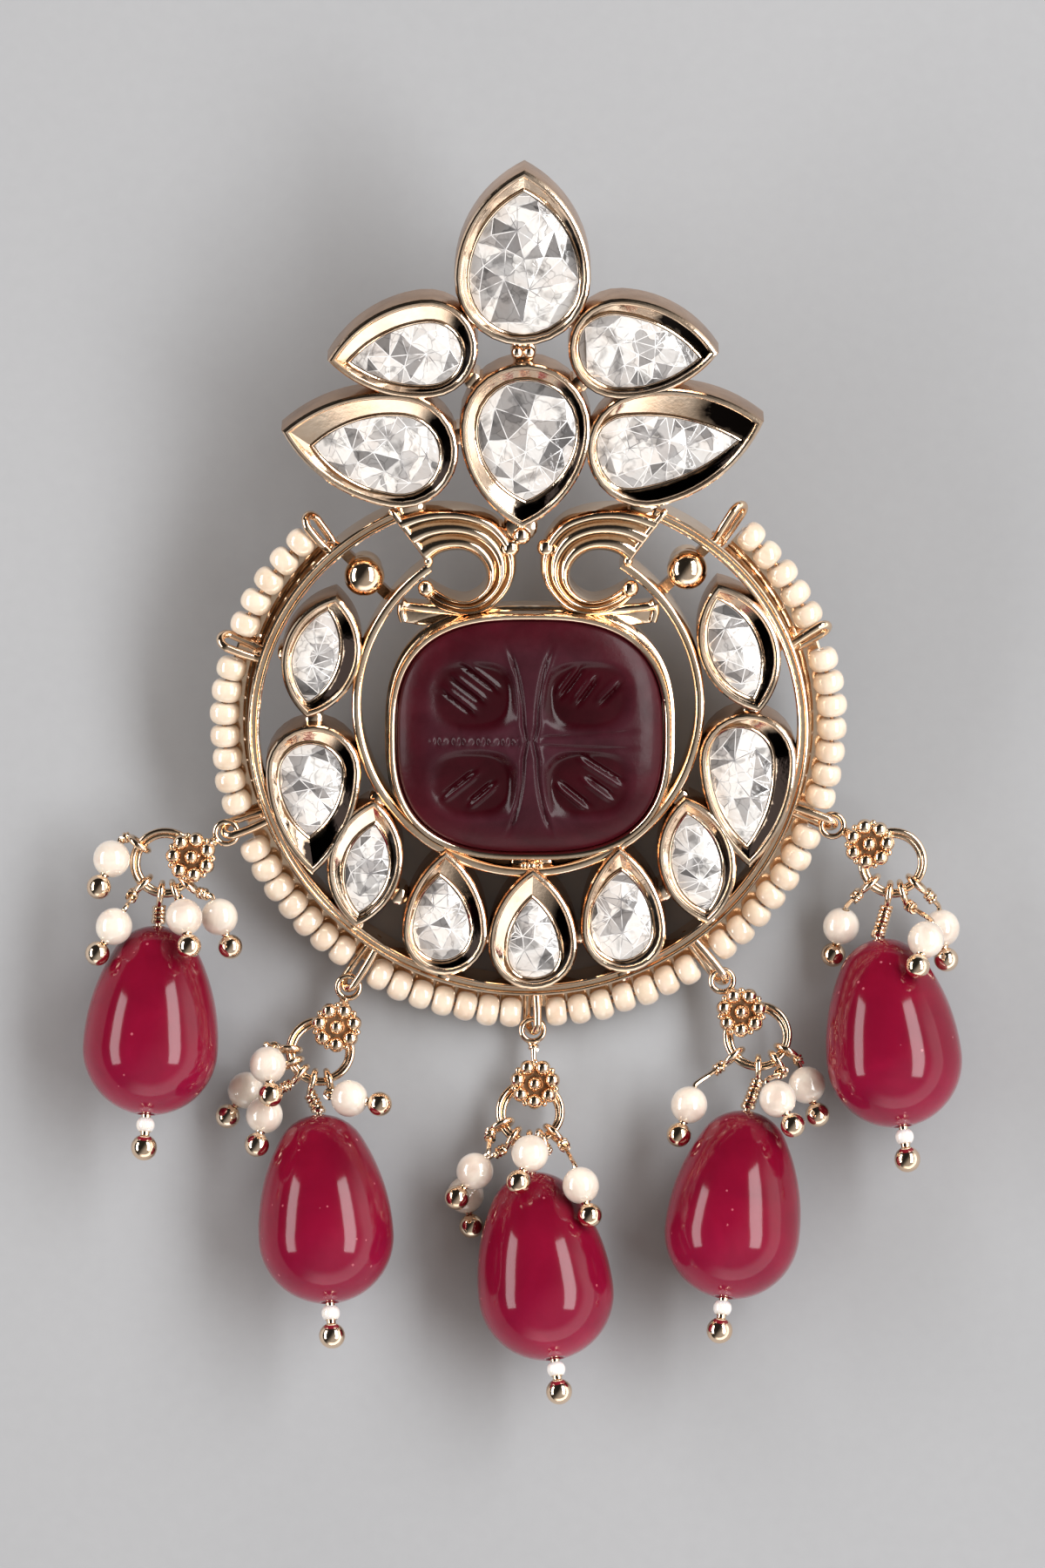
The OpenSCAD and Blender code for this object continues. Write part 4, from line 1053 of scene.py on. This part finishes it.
def flower(i):
    g = HANG[i]
    e = EYES[g[0]]
    tip = lift(e[0], e[1], 1.4)
    b = on_ring(g, bail_t(g), RING_R)
    f = flower_at(g)
    d = f - tip
    az = math.atan2(d[1], d[0])
    u = Vector((math.cos(az), math.sin(az), 0))
    part = Part()
    loop = tip + u * 0.45 + Vector((0, 0, 0.02))
    tube(part, circle_pts(0.6, 26, Matrix.Translation(loop)), 0.16, n=10, closed=True)
    tube(part, [loop + u * 0.6, f - u * 0.9], 0.15, n=10)
    coil(part, loop + u * 0.66, u, 2, 0.2, 0.1, 0.2)
    place = Matrix.Translation(f) @ Matrix.Rotation(rad(g[3]), 4, "Z")
    # disc with seven granules and small ones between them
    # the disc takes the darker gold of painted shade
    lathe(part, [(0.0, -0.14), (0.85, -0.14), (0.9, -0.08), (0.85, -0.02), (0.5, -0.06), (0.0, -0.06)], 30, place=place, mat=1)
    ball(part, (0, 0, 0.20), 0.38, 20, 12, place=place)
    for k in range(7):
        a = rad(12 + 360 / 7 * k)
        ball(part, (0.95 * math.cos(a), 0.95 * math.sin(a), 0.08), 0.42, 20, 12, place=place)
        a = rad(12 + 360 / 7 * (k + 0.5))
        ball(part, (1.16 * math.cos(a), 1.16 * math.sin(a), 0.0), 0.17, 14, 9, place=place)
    bail = Matrix.Translation(b) @ Matrix.Rotation(rad(g[7] + bail_t(g)), 4, "Z") @ Matrix.Rotation(rad(90), 4, "X")
    tube(part, circle_pts(0.52, 24, bail), 0.17, n=10, closed=True)
    return piece(part, f"granulated_flower_{i + 1}", [GOLD_WIRE, GOLD_RECESS_SHADED], [f"connector_{i + 1}"])


def split_ring(i):
    g = HANG[i]
    place = ring_place(g)
    part = Part()
    turns = 2.0
    n = 96
    pts = []
    for k in range(n + 1):
        a = 2 * math.pi * turns * k / n + 0.6
        t = 2 * k / n - 1
        r = RING_R + 0.13 * max(-1.0, min(1.0, t * 3))
        pts.append(place @ Vector((r * math.cos(a), r * math.sin(a), 0.11 * t)))
    tube(part, pts, 0.165, n=12)
    return piece(part, f"double_ring_{i + 1}", [GOLD_WIRE], [f"jump_ring_{i + 1}"])


def ball_of(d):
    v = Vector((d[5] - d[2], d[6] - d[3], d[7] - d[4])).normalized()
    return flat(d[2], d[3], d[4]) + v * (PEARL_R + DANGLE_BALL_R + GAP)


def head_pins(i):
    g = HANG[i]
    part = Part()
    for d in DANGLES:
        if d[0] != i:
            continue
        out = on_ring(g, d[1], RING_R + LOOP_OFF + LOOP_R)
        p = flat(d[2], d[3], d[4])
        q = ball_of(d)
        u = (q - p).normalized()
        bend = p - u * (PEARL_R + 0.22)
        ring_loop(part, g, d[1])
        line = spline([out, out.lerp(bend, 0.5) + Vector((0, 0, 0.04)), bend, p - u * (PEARL_R - 0.1)], 5)
        tube(part, line, PIN_WIRE * 0.82, n=9)
        way = (bend - out)
        if way.length > 0.7:
            coil(part, out + way.normalized() * 0.06, way, 3, 0.23, 0.105, 0.21)
        else:
            coil(part, out + way.normalized() * 0.02, way, 2, 0.21, 0.10, 0.19)
        tube(part, [p - u * (PEARL_R - 0.1), q], PIN_WIRE, n=9)
        ball(part, (0, 0, 0), DANGLE_BALL_R, 26, 18, place=aim(q, u))
        lathe(part, [(0.0, -0.2), (0.24, -0.2), (0.3, -0.1), (0.24, 0.0), (0.0, 0.0)], 16, place=aim(q - u * (DANGLE_BALL_R + 0.02), u))
    return piece(part, f"ball_head_pins_{i + 1}", [GOLD], [f"dangle_pins_{i + 1}"])


def cluster(i):
    part = Part()
    rr = random.Random(60 + i)
    for d in DANGLES:
        if d[0] != i:
            continue
        p = flat(d[2], d[3], d[4])
        u = (ball_of(d) - p).normalized()
        bore = PIN_WIRE + GAP
        prof = [(bore, -PEARL_R * 0.7)]
        a0 = math.asin(bore / PEARL_R) * 1.15
        for t in range(23):
            a = a0 + (math.pi - 2 * a0) * t / 22
            prof.append((PEARL_R * math.sin(a), -PEARL_R * math.cos(a)))
        prof.append((bore, PEARL_R * 0.7))
        ph = rr.uniform(0, 6.3)
        lathe(part, prof, 36, place=aim(p, u), wob=lambda t, z, ph=ph: 1 - 0.012 + 0.012 * math.cos(2 * t + ph))
    return piece(part, f"pearl_cluster_{i + 1}", [PEARL], [f"dangle_pearls_{i + 1}"], angle=70)


def drop_profile():
    """(radius, height) with the round end below and a softly countersunk bore at each end."""
    def r_at(s):
        if s >= DROP_CUT:
            return math.sqrt(max(0.0, SMALL_R ** 2 - (s - DROP_CC) ** 2))
        if s >= 0:
            return math.sqrt(DROP_ARC ** 2 - s * s) - DROP_K
        return math.sqrt(max(0.0, DROP_R ** 2 - s * s))

    prof = []
    low = -math.sqrt(DROP_R ** 2 - (BORE_R + 0.1) ** 2)
    high = DROP_CC + math.sqrt(SMALL_R ** 2 - (BORE_R + 0.1) ** 2)
    prof.append((BORE_R, low + 0.5))
    prof.append((BORE_R + 0.01, low + 0.06))
    n = 30
    a0 = math.acos((BORE_R + 0.1) / DROP_R)
    for k in range(n):
        a = -a0 + a0 * k / n
        prof.append((DROP_R * math.cos(a), DROP_R * math.sin(a)))
    for k in range(26):
        s = DROP_CUT * k / 26
        prof.append((r_at(s), s))
    a1 = math.asin(min(1.0, (DROP_CUT - DROP_CC) / SMALL_R))
    a2 = math.acos((BORE_R + 0.1) / SMALL_R)
    for k in range(15):
        a = a1 + (a2 - a1) * k / 14
        prof.append((SMALL_R * math.cos(a), DROP_CC + SMALL_R * math.sin(a)))
    prof.append((BORE_R + 0.01, high - 0.05))
    prof.append((BORE_R, high - 0.5))
    return prof


def teardrop(i):
    g = HANG[i]
    part = Part()
    prof = drop_profile()
    val = [min(1.0, max(0.0, (z + DROP_R) / DROP_L)) for _, z in prof]
    lathe(part, prof, 72, place=along_drop(g), val=val)
    return piece(part, f"ruby_teardrop_{i + 1}", [RUBY], [f"drop_{i + 1}"], angle=60)


def teardrop_pin(i):
    g = HANG[i]
    u = drop_dir(g)
    top = drop_mid(g) - u * (DROP_TOP + 0.25)
    low = drop_mid(g) + u * (DROP_R + 2 * BEAD_R + 0.06 + END_BALL_R)
    out = on_ring(g, 0, RING_R + LOOP_OFF + LOOP_R)
    part = Part()
    ring_loop(part, g, 0)
    tube(part, spline([out, out.lerp(top, 0.5), top, top + u * 0.6], 5), PIN_WIRE + 0.02, n=10)
    way = top - out
    coil(part, out + way.normalized() * 0.04, way, max(2, int(way.length / 0.23)), 0.27, 0.115, 0.23)
    tube(part, [top + u * 0.3, low], BORE_R - 0.15, n=12)
    lathe(part, [(0.0, -0.3), (0.34, -0.2), (0.42, 0.0), (0.36, 0.14), (0.0, 0.16)], 20, place=aim(top, u))
    ball(part, (0, 0, 0), END_BALL_R, 30, 20, place=aim(low, u))
    return piece(part, f"teardrop_pin_{i + 1}", [GOLD], [f"drop_pin_{i + 1}"])


def small_beads():
    part = Part()
    for g in HANG:
        u = drop_dir(g)
        c = drop_mid(g) + u * (DROP_R + BEAD_R + 0.04)
        bore = BORE_R - 0.1 + GAP
        a0 = math.asin(bore / BEAD_R)
        prof = [(bore * (0.97), -0.2)]
        for t in range(13):
            a = a0 + (math.pi - 2 * a0) * t / 12
            prof.append((BEAD_R * math.sin(a) * 1.0, -BEAD_R * math.cos(a)))
        prof.append((bore * 0.97, 0.2))
        lathe(part, prof, 30, place=aim(c, u))
    return piece(part, "small_end_beads", [BEAD], ["end_beads"], angle=60)


def post():
    part = Part()
    place = IN_FRAME @ Matrix.Translation((POST_AT[0], POST_AT[1], -GAP)) @ Matrix.Rotation(math.pi, 4, "X")
    l = POST_L - GAP
    prof = [(0.0, 0.0), (PAD_R - 0.05, 0.0), (PAD_R, 0.06), (PAD_R, 0.3), (PAD_R - 0.1, 0.4), (0.75, 0.42), (0.55, 0.5), (POST_R, 0.7),
            (POST_R, l - 1.9), (POST_R - 0.09, l - 1.75), (POST_R - 0.09, l - 1.45), (POST_R, l - 1.3), (POST_R, l - 0.45), (POST_R - 0.12, l - 0.1), (POST_R - 0.28, l), (0.0, l)]
    lathe(part, prof, 32, place=place)
    return piece(part, "pad_and_post", [GOLD], ["ear_post"])


outer_rail()
seed_ledge()
inner_rail()
stone_cups()
solder()
bezel()
scrolls()
rail_balls()
eye_loops()
for k in range(len(STONES)):
    foil_stone(k)
carved_stone()
for k in range(len(RUNS)):
    seed_run(k)
for k in range(5):
    flower(k)
    split_ring(k)
    head_pins(k)
    cluster(k)
    teardrop(k)
    teardrop_pin(k)
small_beads()
post()

# ---------- floor, light and camera ----------


def floor():
    me = bpy.data.meshes.new("floor")
    s = 1.5
    me.from_pydata([(-s, -s, 0), (s, -s, 0), (s, s, 0), (-s, s, 0)], [], [(0, 1, 2, 3)])
    o = bpy.data.objects.new("floor", me)
    bpy.context.scene.collection.objects.link(o)
    m = Mat("pale_grey_paper", Roughness=0.75)
    m.b.inputs["Specular IOR Level"].default_value = 0.25
    cloud = m.ramp(m.noise(38.0, 3.0), [(0.3, (0.321, 0.334, 0.350)), (0.7, (0.339, 0.352, 0.368))])
    m.set(Base_Color=m.mix(0.25, cloud, m.ramp(m.noise(0.8, 4.0), [(0.3, (0.94, 0.94, 0.94)), (0.7, (1.04, 1.04, 1.04))]), "MULTIPLY"),
          Normal=m.bump(m.noise(0.7, 3.0), 0.02, 0.25))
    me.materials.append(m.m)


def strip(name, at, look, size, power, colour=(1, 1, 1)):
    l = bpy.data.lights.new(name, "AREA")
    l.shape = "RECTANGLE"
    l.size, l.size_y = size
    l.energy = power
    l.color = colour
    o = bpy.data.objects.new(name, l)
    z = (Vector(at) - Vector(look)).normalized()
    y = Vector((0, 1, 0))
    x = y.cross(z).normalized()
    y = z.cross(x)
    m = Matrix((x, y, z)).transposed().to_4x4()
    m.translation = Vector(at)
    o.matrix_world = m
    bpy.context.scene.collection.objects.link(o)


WORLD_LOW, WORLD_ROOM, WORLD_DARK, WORLD_SOFT, WORLD_BACK = 1.38, 0.42, 0.02, 0.56, 0.45


def world():
    w = bpy.data.worlds.new("studio")
    bpy.context.scene.world = w
    w.use_nodes = True
    t = w.node_tree
    t.nodes.clear()
    out = t.nodes.new("ShaderNodeOutputWorld")
    bg = t.nodes.new("ShaderNodeBackground")
    co = t.nodes.new("ShaderNodeTexCoord")

    def calc(op, a, b=0.0):
        n = t.nodes.new("ShaderNodeMath")
        n.operation = op
        for k, v in enumerate((a, b)):
            if isinstance(v, (int, float)):
                n.inputs[k].default_value = v
            else:
                t.links.new(v, n.inputs[k])
        return n.outputs[0]

    def step(v, a, b, c, d):
        n = t.nodes.new("ShaderNodeMapRange")
        n.interpolation_type = "SMOOTHSTEP"
        for k, x in (("From Min", a), ("From Max", b), ("To Min", c), ("To Max", d)):
            n.inputs[k].default_value = x
        t.links.new(v, n.inputs["Value"])
        return n.outputs["Result"]

    def along(d):
        n = t.nodes.new("ShaderNodeVectorMath")
        n.operation = "DOT_PRODUCT"
        n.inputs[1].default_value = d
        t.links.new(co.outputs["Generated"], n.inputs[0])
        return n.outputs["Value"]

    up = along((0, 0, 1))
    side = along((0.80, -0.60, 0))
    # what polished metal mirrors: a low white reflector to the right and below, a dim room above, near dark to the left
    low = calc("MULTIPLY", step(side, 0.0, 0.5, 0.0, WORLD_LOW), step(up, 0.28, 0.52, 1.0, 0.0))
    room = step(side, -0.3, 0.55, WORLD_DARK, WORLD_ROOM)
    # matt surfaces get a faint warm fill, and the wall behind the floor is plain and pale
    path = t.nodes.new("ShaderNodeLightPath")
    mirrored = calc("MULTIPLY", calc("ADD", low, room), path.outputs["Is Glossy Ray"])
    fill = calc("MULTIPLY", path.outputs["Is Diffuse Ray"], WORLD_SOFT)
    back = calc("MULTIPLY", path.outputs["Is Camera Ray"], WORLD_BACK)
    t.links.new(calc("ADD", calc("ADD", mirrored, fill), back), bg.inputs["Strength"])
    tint = t.nodes.new("ShaderNodeMix")
    tint.data_type = "RGBA"
    t.links.new(path.outputs["Is Diffuse Ray"], tint.inputs[0])
    tint.inputs[6].default_value = (1.0, 0.985, 0.965, 1.0)
    tint.inputs[7].default_value = (1.0, 0.86, 0.77, 1.0)
    t.links.new(tint.outputs[2], bg.inputs["Color"])
    t.links.new(bg.outputs[0], out.inputs[0])


floor()
world()
strip("key_strip_right", (0.33, 0.08, 0.37), (0, 0, 0), (0.19, 0.72), 3.8)
strip("fill_strip_left", (-0.44, 0.05, 0.22), (0, 0, 0), (0.15, 0.56), 1.9)

cam = bpy.data.cameras.new("camera")
cam.lens = 36 * 900 / 83.5
cam.sensor_width = 36
cam.clip_start, cam.clip_end = 0.05, 20
eye = bpy.data.objects.new("camera", cam)
eye.location = (0.0, 0.0, 0.906)
bpy.context.scene.collection.objects.link(eye)
bpy.context.scene.camera = eye
view = bpy.context.scene.view_settings
view.view_transform = "Standard"
view.look = "None"
view.exposure = 0.0
